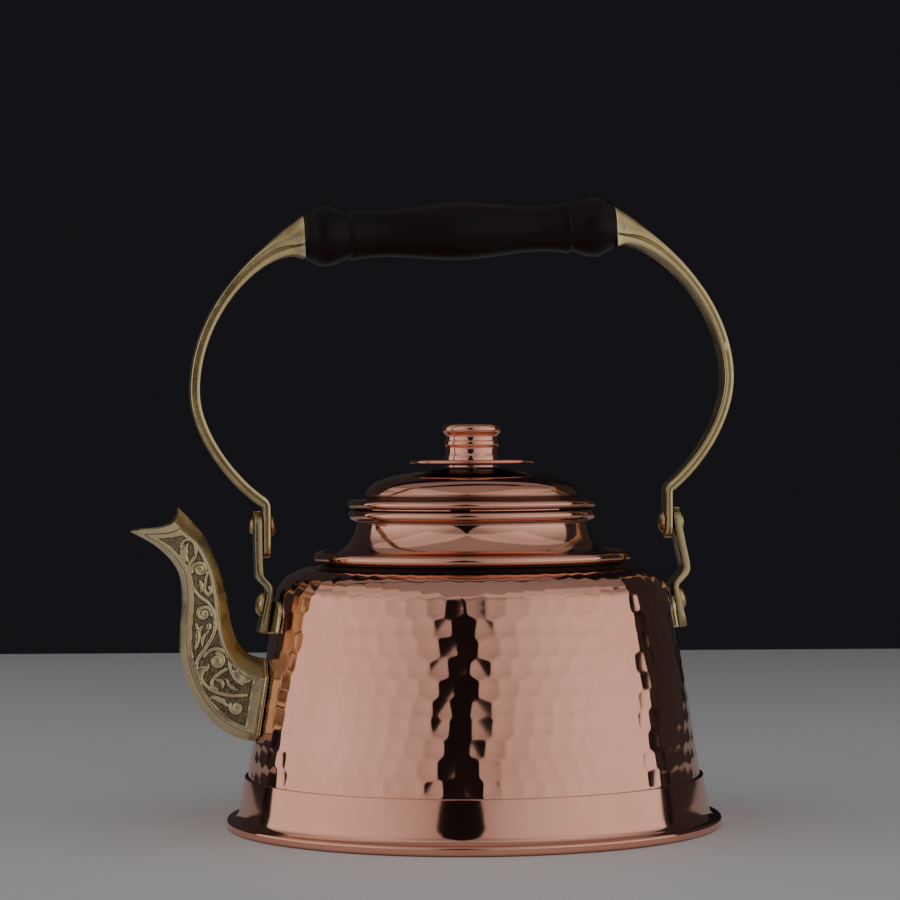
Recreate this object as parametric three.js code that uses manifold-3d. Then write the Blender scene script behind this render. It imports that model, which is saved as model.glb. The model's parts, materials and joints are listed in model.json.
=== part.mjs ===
// A hammered copper stovetop kettle with a cast brass spout, a lift-off lid and a swinging bow handle.
// Millimetres, +Z up. The origin is the centre of the base on the surface that the kettle stands on.
// The spout points to -X, and the handle turns about an axis along X.
import * as THREE from "three";
import { mergeVertices } from "three/addons/utils/BufferGeometryUtils.js";
import Module from "manifold-3d";

const wasm = await Module();
wasm.setup();

// Driving dimensions: the vessel.
const rimRadius = 100; // folded seam round the base
const rimFlare = 8.7; // rim outside the wall's foot
const bodyHeight = 103.4; // top of the shoulder
const wallTopRadius = 79.8; // where the wall meets the shoulder bend
const footHeight = 20.5; // top of the smooth foot band
const sheet = 1; // copper sheet
const gap = 0.3; // between pieces that touch
const shoulderBend = 9;
const footFlare = 3; // how much wider the shell's lower edge is than the wall's foot

// Driving dimensions: neck, lid and knob.
const neckRadius = 46.3; // middle of the collar's sheet at its waist
const neckHeight = 21.6; // rim bead's centre above the shoulder
const brimFlare = 15.7; // centre of the rolled brim, outside the waist
const brimBead = 2.2;
const skirtDepth = 13;
const domeHeight = 14.1; // lid's flat top above its bead's centre
const discRadius = 25.5;
const knobRadius = 12;
const knobHeight = 15;
const screwRadius = 2;

// Driving dimensions: handle.
const pivotRise = 17.6; // pivots above the shoulder
const handleRise = 118.8; // grip's axis above the pivots
const bowReach = 109.6; // widest point of the bow's midline
const handleLean = THREE.MathUtils.degToRad(2.2); // the bow leans towards the spout
const armThickness = 3.9;
const armWidth = 11;
const gripLength = 126.6;
const gripRadius = 12.5;
const rodRadius = 3;
const tabThickness = 3.1;
const strapThickness = 3.1;
const strapWidth = 12;
const strapLength = 32; // pivot above the rivet through the strap's foot
const tabClearance = 1.6; // arms' tabs outside the wall's top
const pivotRadius = 2.6;
const pinRadius = 1.2; // cross pins that hold the arms on the grip's rod

// Driving dimensions: spout.
const spoutReach = 137.8; // pouring tip from the kettle's axis
const spoutRise = 25.4; // top of the mouth above the shoulder
const spoutRootHeight = 51; // middle of the root on the wall
const spoutHole = 9.5; // radius of the hole in the wall
const spoutWall = 2;

// Derived places.
const wallFootRadius = rimRadius - rimFlare;
const wallTopHeight = bodyHeight - shoulderBend - 2;
const bandFlange = sheet + 0.5; // underside of the band's flange, just above the base sheet
const brimRadius = neckRadius + brimFlare;
const neckBeadHeight = bodyHeight + neckHeight;
const lidBead = 1.7;
const lidBeadHeight = neckBeadHeight + brimBead + gap + lidBead + 0.1;
const lidBeadRadius = neckRadius + 2.3;
const lidTop = lidBeadHeight + domeHeight;
const pivotHeight = bodyHeight + pivotRise;
const lugHeight = pivotHeight - strapLength;
const tabInside = wallTopRadius + tabClearance;
const tabOutside = tabInside + tabThickness;
const strapInside = tabOutside + 0.4;
const spoutTop = bodyHeight + spoutRise;

// Facets round the axis.
const roundLarge = 36;
const roundMedium = 24;
const roundSmall = 16;

const copperHammered = new THREE.MeshStandardMaterial({ color: 0xc98f78, roughness: 0.2, metalness: 1 });
const copperPolished = new THREE.MeshStandardMaterial({ color: 0xcf9580, roughness: 0.14, metalness: 1 });
const brassAntique = new THREE.MeshStandardMaterial({ color: 0xa8936a, roughness: 0.32, metalness: 1 });
const darkWood = new THREE.MeshStandardMaterial({ color: 0x21130e, roughness: 0.3, metalness: 0 });
const steel = new THREE.MeshStandardMaterial({ color: 0x9a9a98, roughness: 0.35, metalness: 1 });

// Outer radius of the hammered wall at a height.
function wallRadius(z) {
  return THREE.MathUtils.mapLinear(z, footHeight, wallTopHeight, wallFootRadius, wallTopRadius);
}
const wallSlope = Math.atan2(wallFootRadius - wallTopRadius, wallTopHeight - footHeight);

// Geometry to solid and back, so that pieces can be joined and cut.
function solidOf(geometry) {
  const bare = new THREE.BufferGeometry();
  bare.setAttribute("position", geometry.getAttribute("position"));
  bare.setIndex(geometry.index);
  const merged = mergeVertices(bare, 1e-4);
  const triVerts = new Uint32Array(merged.index.array);
  const vertProperties = merged.attributes.position.array;
  return new wasm.Manifold(new wasm.Mesh({ numProp: 3, vertProperties, triVerts }));
}

function geometryOf(solid) {
  const made = solid.getMesh();
  const positions = new Float32Array(made.numVert * 3);
  for (let i = 0; i < made.numVert; i++) {
    positions.set(made.vertProperties.subarray(i * made.numProp, i * made.numProp + 3), i * 3);
  }
  const geometry = new THREE.BufferGeometry();
  geometry.setAttribute("position", new THREE.BufferAttribute(positions, 3));
  geometry.setIndex(new THREE.BufferAttribute(made.triVerts, 1));
  geometry.computeVertexNormals();
  return geometry;
}

// A solid of revolution about Z from a closed outline of [radius, height] points.
function revolve(outline, segments) {
  const closed = outline.map(([r, z]) => new THREE.Vector2(r, z));
  if (THREE.ShapeUtils.area(closed) < 0) closed.reverse();
  const onAxis = closed.findIndex((p, i) => {
    const next = closed[(i + 1) % closed.length];
    return p.x === 0 && next.x === 0;
  });
  const start = onAxis + 1;
  const profile = closed.map((_, i) => closed[(start + i) % closed.length]);
  if (onAxis < 0) profile.push(profile[0].clone());
  return new THREE.LatheGeometry(profile, segments).rotateX(Math.PI / 2);
}

// Points of an arc in the outline plane; angles in degrees, 0 pointing away from the axis.
function arc(r, z, radius, from, to, steps) {
  return Array.from({ length: steps + 1 }, (_, i) => {
    const angle = THREE.MathUtils.degToRad(from + ((to - from) * i) / steps);
    return [r + radius * Math.cos(angle), z + radius * Math.sin(angle)];
  });
}

// A cylinder along X from one x to another, centred on a point of the YZ plane.
function pinAlongX(radius, x0, x1, y, z) {
  const geometry = new THREE.CylinderGeometry(radius, radius, Math.abs(x1 - x0), roundSmall);
  return geometry.rotateZ(Math.PI / 2).translate((x0 + x1) / 2, y, z);
}

// A flat outline in the XZ plane given thickness in Y, centred on Y = 0.
function extrudeAcross(points, width) {
  const shape = new THREE.Shape(points.map(([x, z]) => new THREE.Vector2(x, z)));
  const geometry = new THREE.ExtrudeGeometry(shape, { depth: width, bevelEnabled: false });
  return geometry.rotateX(Math.PI / 2).translate(0, width / 2, 0);
}

// A closed skin through rings that all have the same number of points.
function loft(rings) {
  const count = rings[0].length;
  const first = new THREE.Vector3();
  const last = new THREE.Vector3();
  rings[0].forEach((p) => first.addScaledVector(p, 1 / count));
  rings.at(-1).forEach((p) => last.addScaledVector(p, 1 / count));
  const points = [...rings.flat(), first, last];
  const index = [];
  for (let j = 0; j < count; j++) {
    const k = (j + 1) % count;
    for (let i = 0; i < rings.length - 1; i++) {
      const a = i * count;
      const b = a + count;
      index.push(a + j, a + k, b + k, a + j, b + k, b + j);
    }
    const end = (rings.length - 1) * count;
    index.push(rings.length * count, k, j);
    index.push(rings.length * count + 1, end + j, end + k);
  }
  const geometry = new THREE.BufferGeometry().setFromPoints(points);
  geometry.setIndex(index);
  if (solidOf(geometry).volume() < 0) geometry.setIndex(index.reverse());
  geometry.computeVertexNormals();
  return geometry;
}

const kettle = new THREE.Group();

function addPiece(name, geometry, material, parent = kettle) {
  const mesh = new THREE.Mesh(geometry, material);
  mesh.name = name;
  parent.add(mesh);
  return mesh;
}

// ---- Vessel ----

const seamWidth = 3.8;
const rimRound = 1.4;

// The base sheet, its edge folded up and back over the band's flange.
function bottomPlate() {
  const foldInside = rimRadius - seamWidth;
  const foldUnder = bandFlange + sheet + gap;
  const outline = [
    [0, 0],
    ...arc(rimRadius - rimRound, rimRound, rimRound, -90, 0, 2),
    ...arc(rimRadius - rimRound, foldUnder + sheet - rimRound, rimRound, 0, 90, 2),
    [foldInside, foldUnder + sheet],
    [foldInside, foldUnder],
    [rimRadius - sheet, foldUnder],
    [rimRadius - sheet, sheet],
    [0, sheet],
  ];
  return revolve(outline, roundLarge);
}

// Outer radius of the shell's hidden lower edge, inside the foot band.
function skirtRadius(z) {
  return THREE.MathUtils.mapLinear(z, footHeight, bandFlange, wallFootRadius, wallFootRadius + footFlare);
}

// A smooth band round the shell's lower edge, flared out into a flange that the base sheet grips.
function footBand() {
  const flangeEdge = rimRadius - sheet - gap;
  const inner = (z) => skirtRadius(z) + gap;
  const outside = [
    [flangeEdge, bandFlange],
    [flangeEdge, bandFlange + sheet],
    [inner(bandFlange) + sheet + 0.4, bandFlange + sheet],
    [inner(6.5) + sheet, 6.5],
    [inner(footHeight) + sheet, footHeight],
  ];
  const inside = [
    [inner(footHeight), footHeight],
    [inner(bandFlange), bandFlange],
  ];
  return revolve([...outside, ...inside], roundLarge);
}

// Outline of the shell's outer face, or of its inner face when inset by the sheet.
function shellFace(inset) {
  const bendRadius = wallTopRadius - shoulderBend;
  const stepRadius = brimRadius - 1.2;
  const bend = arc(bendRadius, wallTopHeight, shoulderBend - inset, 20, 80, 3);
  return [
    [skirtRadius(bandFlange) - inset, bandFlange],
    [wallFootRadius - inset, footHeight],
    [wallTopRadius - inset, wallTopHeight],
    ...bend,
    [THREE.MathUtils.lerp(bend.at(-1)[0], stepRadius, 0.6), bodyHeight - 0.6 - inset],
    [stepRadius - inset, bodyHeight - inset],
    [stepRadius - 0.4 - inset, bodyHeight + 2 - inset],
    [neckRadius + 5.2 - inset, bodyHeight + 2.2 - inset],
    [neckRadius + 4.1 - inset, bodyHeight + 3 - inset],
    [neckRadius + 4.1 - inset, bodyHeight + 8.4],
  ];
}

function bodyShell() {
  const blank = solidOf(revolve([...shellFace(0), ...shellFace(sheet).reverse()], roundLarge));
  const hole = solidOf(pinAlongX(spoutHole, -rimRadius, -wallTopRadius / 2, 0, spoutRootHeight));
  return geometryOf(blank.subtract(hole).subtract(lugBore(-1)).subtract(lugBore(1)));
}

function neckCollar() {
  const half = sheet / 2;
  const beadRadius = neckRadius + 1.6;
  const outer = [
    ...arc(beadRadius, neckBeadHeight, brimBead, 90, -90, 4),
    [neckRadius + half, neckBeadHeight - 3.2],
    [neckRadius + 1 + half, neckBeadHeight - 7.4],
    [neckRadius + 2.7 + half, neckBeadHeight - 10.4],
    [neckRadius + 5.6, bodyHeight + 8.9],
    [neckRadius + 9.3, bodyHeight + 6.2],
    [brimRadius - 2.6, bodyHeight + 5],
    ...arc(brimRadius, bodyHeight + 4.6, brimBead, 150, -150, 6),
  ];
  const inner = [
    [brimRadius - 3.6, bodyHeight + 3.6],
    [neckRadius + 8.8, bodyHeight + 4.8],
    [neckRadius + 4.7, bodyHeight + 7.7],
    [neckRadius + 1.9, neckBeadHeight - 10],
    [neckRadius + 0.4, neckBeadHeight - 7],
    [neckRadius - half, neckBeadHeight - 3],
    [neckRadius - half, neckBeadHeight],
    [neckRadius + 0.05, neckBeadHeight + 1.4],
  ];
  return revolve([...outer, ...inner], roundLarge);
}

// ---- Spout ----

// The lower front edge and the upper back edge of the spout, from the root to the mouth.
// Each point is [share of the reach beyond the wall, share of the mouth's height].
const spoutFront = [
  [-0.18, 0.273],
  [0.109, 0.278],
  [0.33, 0.32],
  [0.512, 0.409],
  [0.611, 0.523],
  [0.617, 0.621],
  [0.603, 0.714],
  [0.638, 0.807],
  [0.79, 0.877],
  [1, 0.927],
];
const spoutBack = [
  [-0.18, 0.519],
  [0.031, 0.533],
  [0.136, 0.559],
  [0.191, 0.592],
  [0.23, 0.641],
  [0.249, 0.691],
  [0.272, 0.745],
  [0.319, 0.815],
  [0.43, 0.91],
  [0.63, 1],
];
const spoutHalfWidths = [13.5, 12.5, 10.6, 9.2, 8.4, 7.9, 7.6, 7.6, 8.2, 9.2];
const mouthSag = 3.8; // how far the mouth's edge dips between tip and top
const spoutStations = 15;

function spoutEdge(shares) {
  const root = wallRadius(spoutRootHeight);
  const points = shares.map(([out, up]) => {
    return new THREE.Vector2(-(root + out * (spoutReach - root)), up * spoutTop);
  });
  return new THREE.SplineCurve(points);
}

// One eight-sided section: narrow front and back edges, bevels, and two flat sides.
function spoutRing(t, inset, sag, beyond) {
  const front = spoutEdge(spoutFront).getPoint(t);
  const back = spoutEdge(spoutBack).getPoint(t);
  const widths = new THREE.SplineCurve(spoutHalfWidths.map((w, i) => new THREE.Vector2(i, w)));
  const half = widths.getPoint(t).y - inset;
  const across = back.clone().sub(front);
  const length = across.length();
  const onward = new THREE.Vector2(-across.y, across.x).divideScalar(length);
  const edge = 0.36 * half;
  const shares = [
    [0, edge],
    [0.15, half],
    [0.5, half],
    [0.85, half],
    [1, edge],
  ];
  const place = (share, y) => {
    const along = THREE.MathUtils.lerp(inset / length, 1 - inset / length, share);
    const dip = beyond - sag * 4 * share * (1 - share);
    const p = front.clone().addScaledVector(across, along).addScaledVector(onward, dip);
    return new THREE.Vector3(p.x, y, p.y);
  };
  const near = shares.map(([share, y]) => place(share, -y));
  const far = shares.map(([share, y]) => place(share, y)).reverse();
  return [...near, ...far];
}

function spoutBody(inset, beyond) {
  const rings = Array.from({ length: spoutStations }, (_, i) => {
    const t = i / (spoutStations - 1);
    const last = i === spoutStations - 1;
    return spoutRing(t, inset, last ? mouthSag : 0, last ? beyond : 0);
  });
  return solidOf(loft(rings));
}

function wallCutter() {
  const outline = [
    [0, 0],
    [wallRadius(0) + gap, 0],
    [wallTopRadius + gap, wallTopHeight],
    [0, wallTopHeight],
  ];
  return solidOf(revolve(outline, roundLarge));
}

// Half of the spout, on the near side (-Y) or the far side (+Y) of the seam.
function spoutHalf(side) {
  const hollow = spoutBody(0, 0).subtract(spoutBody(spoutWall, 1)).subtract(wallCutter());
  const slab = new THREE.BoxGeometry(spoutReach, 40, spoutTop * 2);
  slab.translate(-spoutReach / 2 - 20, side * (20 + gap / 2), spoutTop);
  return geometryOf(hollow.intersect(solidOf(slab)));
}

// ---- Lugs ----

const plateThickness = 1.2;
const plateHalfWidth = 17;
const footThickness = 2.2;
const footLift = plateThickness + gap * 2 + 0.2; // strap's foot off the wall
const lugShank = 2.2; // lug rivet's radius
const lugBoreLength = 18;
const burrRadius = 5.2; // washer under the lug rivet's peened tail
const burrThickness = 1;

// A point on the wall beside the spout (side -1) or opposite (side 1), at a distance off the wall.
function lugPoint(side, offWall, alongWall = 0) {
  const r = wallRadius(lugHeight) + offWall * Math.cos(wallSlope) - alongWall * Math.sin(wallSlope);
  const z = lugHeight + offWall * Math.sin(wallSlope) + alongWall * Math.cos(wallSlope);
  return [side * r, z];
}

// Turns a shape of revolution about Z into one about the lug rivet's axis, its +Z pointing outwards.
function ontoLugAxis(geometry, side) {
  const [x, z] = lugPoint(side, 0);
  return geometry.rotateY(side * (Math.PI / 2 - wallSlope)).translate(x, 0, z);
}

// The bore for the lug rivet's shank, through the strap's foot, the saddle plate and the wall.
function lugBore(side) {
  const radius = lugShank + gap;
  const geometry = new THREE.CylinderGeometry(radius, radius, lugBoreLength, roundSmall);
  return solidOf(ontoLugAxis(geometry.rotateX(Math.PI / 2), side));
}

// A saddle plate bent round the wall, held under the strap's foot.
function lugPlate(side) {
  const low = lugHeight - 11;
  const high = wallTopHeight - 1;
  const ring = revolve(
    [
      [wallRadius(low) + gap, low],
      [wallRadius(low) + gap + plateThickness, low],
      [wallRadius(high) + gap + plateThickness, high],
      [wallRadius(high) + gap, high],
    ],
    roundLarge,
  );
  const half = plateHalfWidth;
  const face = new THREE.Shape();
  face.moveTo(-half, low - 5);
  face.lineTo(half, low - 5);
  face.lineTo(half, high - 4);
  face.quadraticCurveTo(half - 1, high + 1, half - 8, high + 1);
  face.lineTo(8 - half, high + 1);
  face.quadraticCurveTo(1 - half, high + 1, -half, high - 4);
  const block = new THREE.ExtrudeGeometry(face, { depth: 40, bevelEnabled: false, curveSegments: 4 });
  block.rotateX(Math.PI / 2).rotateZ(Math.PI / 2);
  block.translate(side > 0 ? wallTopRadius - 15 : -wallTopRadius - 25, 0, 0);
  return geometryOf(solidOf(ring).intersect(solidOf(block)).subtract(lugBore(side)));
}

// The upright strap: foot along the wall, a joggle outwards, and a round top about the pivot.
function lugStrap(side) {
  const inFace = footLift;
  const outFace = inFace + footThickness;
  const strapOutside = strapInside + strapThickness;
  const profile = [
    lugPoint(1, inFace, -11),
    lugPoint(1, outFace, -11),
    lugPoint(1, outFace, 5.5),
    [strapOutside - 1.2, lugHeight + 9.5],
    [strapOutside, lugHeight + 14],
    [strapOutside, pivotHeight + strapWidth],
    [strapInside, pivotHeight + strapWidth],
    [strapInside, lugHeight + 15.5],
    [strapInside - 1.4, lugHeight + 11],
    lugPoint(1, inFace, 8),
  ];
  const side3d = extrudeAcross(profile.map(([x, z]) => [side * x, z]), strapWidth * 2);
  const half = strapWidth / 2;
  const face = new THREE.Shape();
  face.moveTo(-half - 1.5, lugHeight - 9);
  face.quadraticCurveTo(-half - 1, lugHeight - 12.5, 0, lugHeight - 12.5);
  face.quadraticCurveTo(half + 1, lugHeight - 12.5, half + 1.5, lugHeight - 9);
  face.lineTo(half + 1, lugHeight + 8);
  face.lineTo(half, lugHeight + 16);
  face.lineTo(half, pivotHeight);
  face.absarc(0, pivotHeight, half, 0, Math.PI, false);
  face.lineTo(-half, lugHeight + 16);
  face.lineTo(-half - 1, lugHeight + 8);
  const block = new THREE.ExtrudeGeometry(face, { depth: 60, bevelEnabled: false, curveSegments: 10 });
  block.rotateX(Math.PI / 2).rotateZ(Math.PI / 2);
  block.translate(side > 0 ? strapInside - 30 : -strapInside - 30, 0, 0);
  const pivotHole = solidOf(pivotBore(side, pivotHeight));
  const blank = solidOf(side3d).intersect(solidOf(block));
  return geometryOf(blank.subtract(lugBore(side)).subtract(pivotHole));
}

// Dome head outside, shank through foot, plate and wall, peened tail inside.
function lugRivet(side) {
  const seat = footLift + footThickness + gap;
  const tail = -(sheet + burrThickness + gap * 2 + 0.5);
  const outline = [
    [0, tail - 1.6],
    [2.4, tail - 1.4],
    [3.6, tail - 0.5],
    [3.6, tail],
    [lugShank, tail],
    [lugShank, seat],
    [4.7, seat],
    [4.4, seat + 1.2],
    [3.3, seat + 2.3],
    [1.7, seat + 2.9],
    [0, seat + 3],
  ];
  return ontoLugAxis(revolve(outline, roundSmall), side);
}

function lugBurr(side) {
  const top = -(sheet + gap + 0.5);
  const outline = [
    [lugShank + gap, top - burrThickness],
    [burrRadius, top - burrThickness],
    [burrRadius, top],
    [lugShank + gap, top],
  ];
  return ontoLugAxis(revolve(outline, roundSmall), side);
}

// The bore for the pivot rivet's shank, through tab and strap.
function pivotBore(side, z) {
  const from = side * (tabInside - 4);
  const to = side * (strapInside + strapThickness + 4);
  return pinAlongX(pivotRadius + gap, from, to, 0, z);
}

// The pivot's domed head bears on the arm's tab, and its small tail is peened outside the strap.
function pivotRivet(side) {
  const headSeat = tabInside - gap;
  const tailSeat = strapInside + strapThickness + gap;
  const outline = [
    [0, headSeat - 2],
    [2.2, headSeat - 1.8],
    [3.8, headSeat - 1],
    [4.3, headSeat],
    [pivotRadius, headSeat],
    [pivotRadius, tailSeat],
    [3.1, tailSeat],
    [2.6, tailSeat + 1.1],
    [0, tailSeat + 1.5],
  ];
  const geometry = revolve(outline, roundSmall).rotateY((side * Math.PI) / 2);
  return geometry.translate(0, 0, pivotHeight);
}

// ---- Lid and knob, in a group of their own ----

const discBase = lidTop + 2; // underside of the disc at its middle
const knobBase = discBase + sheet + gap;
const screwHole = screwRadius + gap;
const screwHoleTop = knobBase + 9;
const lidUnderside = lidTop - 1.1;
const washerThickness = 1;

function lidShell() {
  const side = lidBeadRadius - 6;
  const outer = [
    [screwHole, lidTop],
    [11, lidTop],
    [19.8, lidTop - 0.9],
    [31.2, lidTop - 2.4],
    [side - 2.6, lidTop - 5.6],
    [side, lidTop - 8.6],
    [side - 0.8, lidBeadHeight + 2.4],
    [side + 1.2, lidBeadHeight + 1.9],
    ...arc(lidBeadRadius, lidBeadHeight, lidBead, 90, -120, 5),
  ];
  const inner = [
    [lidBeadRadius - 1.6, lidBeadHeight + 0.7],
    [side - 1.9, lidBeadHeight + 0.7],
    [side - 1.9, lidBeadHeight + 2.2],
    [side - 1.1, lidTop - 8.9],
    [side - 3.3, lidTop - 6.5],
    [30.9, lidTop - 3.5],
    [19.6, lidTop - 2],
    [11, lidUnderside],
    [screwHole, lidUnderside],
  ];
  return revolve([...outer, ...inner], roundLarge);
}

function lidSkirt() {
  const outside = neckRadius - sheet / 2 - 0.5;
  const top = lidBeadHeight + 0.7 - gap;
  const bottom = top - skirtDepth;
  const outline = [
    [outside - 1, bottom],
    [outside, bottom],
    [outside, top],
    [outside - 1, top],
  ];
  return revolve(outline, roundLarge);
}

function knobFoot() {
  const outline = [
    [screwHole, lidTop + gap],
    [10, lidTop + gap],
    [9.6, discBase - gap],
    [screwHole, discBase - gap],
  ];
  return revolve(outline, roundMedium);
}

function knobDisc() {
  const top = discBase + sheet;
  const outline = [
    [screwHole, discBase],
    [11, discBase],
    [discRadius - 0.8, discBase + 0.2],
    ...arc(discRadius - 0.75, discBase + 0.95, 0.75, -60, 60, 3),
    [discRadius - 1, top + 0.5],
    [knobRadius + 2, top],
    [screwHole, top],
  ];
  return revolve(outline, roundMedium);
}

function knob() {
  const top = knobBase + knobHeight;
  const outline = [
    [screwHole, knobBase],
    [knobRadius - 1.9, knobBase],
    [knobRadius - 1.7, knobBase + 2],
    [knobRadius - 2, knobBase + 4],
    [knobRadius - 1.4, knobBase + 5.8],
    [knobRadius - 1.4, knobBase + 7],
    [knobRadius - 2, knobBase + 8.8],
    ...arc(knobRadius - 1.9, top - 3.6, 1.9, -70, 70, 4),
    [knobRadius - 4, top - 0.8],
    [0, top],
    [0, screwHoleTop],
    [screwHole, screwHoleTop],
  ];
  return revolve(outline, roundMedium);
}

function knobWasher() {
  const top = lidUnderside - gap;
  const bottom = top - washerThickness;
  const outline = [
    [screwHole, bottom],
    [6, bottom],
    [6, top],
    [screwHole, top],
  ];
  return revolve(outline, roundSmall);
}

function knobScrew() {
  const seat = lidUnderside - washerThickness - 2 * gap;
  const outline = [
    [0, seat - 2.2],
    [2.6, seat - 2.2],
    [3.9, seat - 1.1],
    [3.9, seat],
    [screwRadius, seat],
    [screwRadius, screwHoleTop - gap],
    [0, screwHoleTop - gap],
  ];
  return revolve(outline, roundSmall);
}

// ---- Handle, in a group whose origin is the pivot axis ----

const armEnd = gripLength / 2 + gap; // arm's end face, beside the grip
const elbowRise = 10.9; // bend from tab to bow, above the pivot
const tabDrop = 9.5; // tab's lower end below the pivot, before the lean
const tabMiddle = (tabInside + tabOutside) / 2;
const socketDepth = 11; // how far the grip's rod goes into each arm
const pinInset = 6.2; // cross pin from the arm's end face
const armStations = 18;

// The bow's midline on the +X side from the grip to the elbow: two curves that meet at the widest point.
function bowMidline() {
  const v = (x, z) => new THREE.Vector2(x, z);
  const widest = handleRise / 2;
  const path = new THREE.CurvePath();
  path.add(
    new THREE.CubicBezierCurve(
      v(armEnd, handleRise - 0.3),
      v(armEnd + 20.5, handleRise - 9.5),
      v(bowReach, widest + 28),
      v(bowReach, widest),
    ),
  );
  path.add(
    new THREE.CubicBezierCurve(
      v(bowReach, widest),
      v(bowReach, widest - 20),
      v(tabMiddle + 15, elbowRise + 15.5),
      v(tabMiddle + 0.9, elbowRise),
    ),
  );
  return path;
}

// Thickness of the arm along the bow: deep beside the grip, slim below.
function bowThickness(t) {
  return armThickness + 13.6 * Math.pow(1 - Math.min(t / 0.46, 1), 1.7);
}

// Width of the arm in Y along the bow.
function bowWidth(t) {
  return armWidth + 4 * Math.pow(1 - t, 2);
}

// A ring of eight points round a place in the XZ plane, bevelled towards the outside of the bow.
function armRing(place, up, thickness, width) {
  const half = width / 2;
  const depth = thickness / 2;
  const outline = [
    [-depth, -half + 1],
    [depth * 0.3, -half],
    [depth, -half * 0.55],
    [depth, half * 0.55],
    [depth * 0.3, half],
    [-depth, half - 1],
  ];
  return outline.map(([d, y]) => new THREE.Vector3(place.x + up.x * d, y, place.y + up.y * d));
}

// Rings of one arm, mirrored for the left side, with the bow's lean put in above the tab.
function armRings(side) {
  const path = bowMidline();
  const pivot = new THREE.Vector2();
  const outwards = new THREE.Vector2(1, 0);
  const lean = side * handleLean;
  const rings = [];
  for (let i = 0; i < armStations - 1; i++) {
    const t = i / (armStations - 1);
    const p = path.getPointAt(t).rotateAround(pivot, lean);
    const along = i === 0 ? outwards : path.getTangentAt(t);
    const up = new THREE.Vector2(-along.y, along.x).rotateAround(pivot, lean);
    rings.push(armRing(p, up, bowThickness(t), bowWidth(t)));
  }
  const shift = side * tabMiddle * Math.sin(handleLean);
  const elbow = elbowRise + shift;
  const elbowOut = new THREE.Vector2(0.92, 0.39).normalize();
  rings.push(armRing(new THREE.Vector2(tabMiddle + 0.25, elbow + 0.4), elbowOut, armThickness, armWidth));
  const half = armWidth / 2;
  rings.push(armRing(new THREE.Vector2(tabMiddle, elbow - 3.2), outwards, tabThickness, armWidth));
  for (const degrees of [0, 25, 45, 60, 75]) {
    const angle = THREE.MathUtils.degToRad(degrees);
    const z = shift - tabDrop + half * (1 - Math.sin(angle));
    const width = armWidth * Math.cos(angle);
    rings.push(armRing(new THREE.Vector2(tabMiddle, z), outwards, tabThickness, width));
  }
  if (side < 0) rings.forEach((ring) => ring.forEach((p) => p.setX(-p.x)));
  return rings;
}

function leaned(geometry) {
  return geometry.rotateY(-handleLean);
}

// A cylinder along Y where a cross pin goes through an arm and the rod.
function crossPin(side, radius, length) {
  const geometry = new THREE.CylinderGeometry(radius, radius, length, roundSmall);
  return leaned(geometry.translate(side * (armEnd + pinInset), 0, handleRise));
}

function arm(side) {
  const blank = solidOf(loft(armRings(side)));
  const socket = leaned(
    pinAlongX(rodRadius + gap, side * (armEnd - 3), side * (armEnd + socketDepth), 0, handleRise),
  );
  const pivotHole = pivotBore(side, 0);
  const pinHole = crossPin(side, pinRadius + gap, armWidth * 3);
  const cut = blank.subtract(solidOf(socket)).subtract(solidOf(pivotHole)).subtract(solidOf(pinHole));
  return geometryOf(cut);
}

function armPin(side) {
  return crossPin(side, pinRadius, bowWidth(0.05) - 2 * gap);
}

// Turned grip: a fat bulb at each end, grooves, slim necks and a swelling in the middle.
function grip() {
  const end = gripLength / 2;
  const halfOutline = [
    [gripRadius - 3.6, end],
    [gripRadius - 2.4, end - 0.8],
    [gripRadius - 1.6, end - 3.4],
    [gripRadius - 0.2, end - 5.6],
    [gripRadius, end - 8.4],
    [gripRadius - 1, end - 13],
    [gripRadius - 2.3, end - 16.6],
    [gripRadius - 2.5, end - 18.2],
    [gripRadius - 1.8, end - 19.4],
    [gripRadius - 2.4, end - 25],
    [gripRadius - 3, end - 32],
    [gripRadius - 2.3, end - 43],
    [gripRadius - 1.2, end - 53],
    [gripRadius - 0.6, 0],
  ];
  const lower = halfOutline.slice(0, -1).map(([r, x]) => [r, -x]).reverse();
  const bore = [
    [rodRadius + gap, -end],
    [rodRadius + gap, end],
  ];
  const geometry = revolve([...halfOutline, ...lower, ...bore], roundMedium);
  return leaned(geometry.rotateY(Math.PI / 2).translate(0, 0, handleRise));
}

function gripRod() {
  const reach = armEnd + socketDepth - gap * 2;
  const rod = solidOf(leaned(pinAlongX(rodRadius, -reach, reach, 0, handleRise)));
  const holes = [-1, 1].map((side) => solidOf(crossPin(side, pinRadius + gap, rodRadius * 4)));
  return geometryOf(rod.subtract(holes[0]).subtract(holes[1]));
}

// ---- Assembly ----

addPiece("body_shell", bodyShell(), copperHammered);
addPiece("foot_band", footBand(), copperPolished);
addPiece("bottom_plate", bottomPlate(), copperPolished);
addPiece("neck_collar", neckCollar(), copperPolished);
addPiece("spout_half_near", spoutHalf(-1), brassAntique);
addPiece("spout_half_far", spoutHalf(1), brassAntique);

const lid = new THREE.Group();
kettle.add(lid);
addPiece("lid_shell", lidShell(), copperPolished, lid);
addPiece("lid_skirt", lidSkirt(), copperPolished, lid);
addPiece("knob_foot", knobFoot(), copperPolished, lid);
addPiece("knob_disc", knobDisc(), copperPolished, lid);
addPiece("knob", knob(), copperPolished, lid);
addPiece("knob_screw", knobScrew(), steel, lid);
addPiece("knob_washer", knobWasher(), steel, lid);

const handle = new THREE.Group();
handle.position.z = pivotHeight;
kettle.add(handle);
addPiece("grip", grip(), darkWood, handle);
addPiece("grip_rod", gripRod(), steel, handle);

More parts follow.
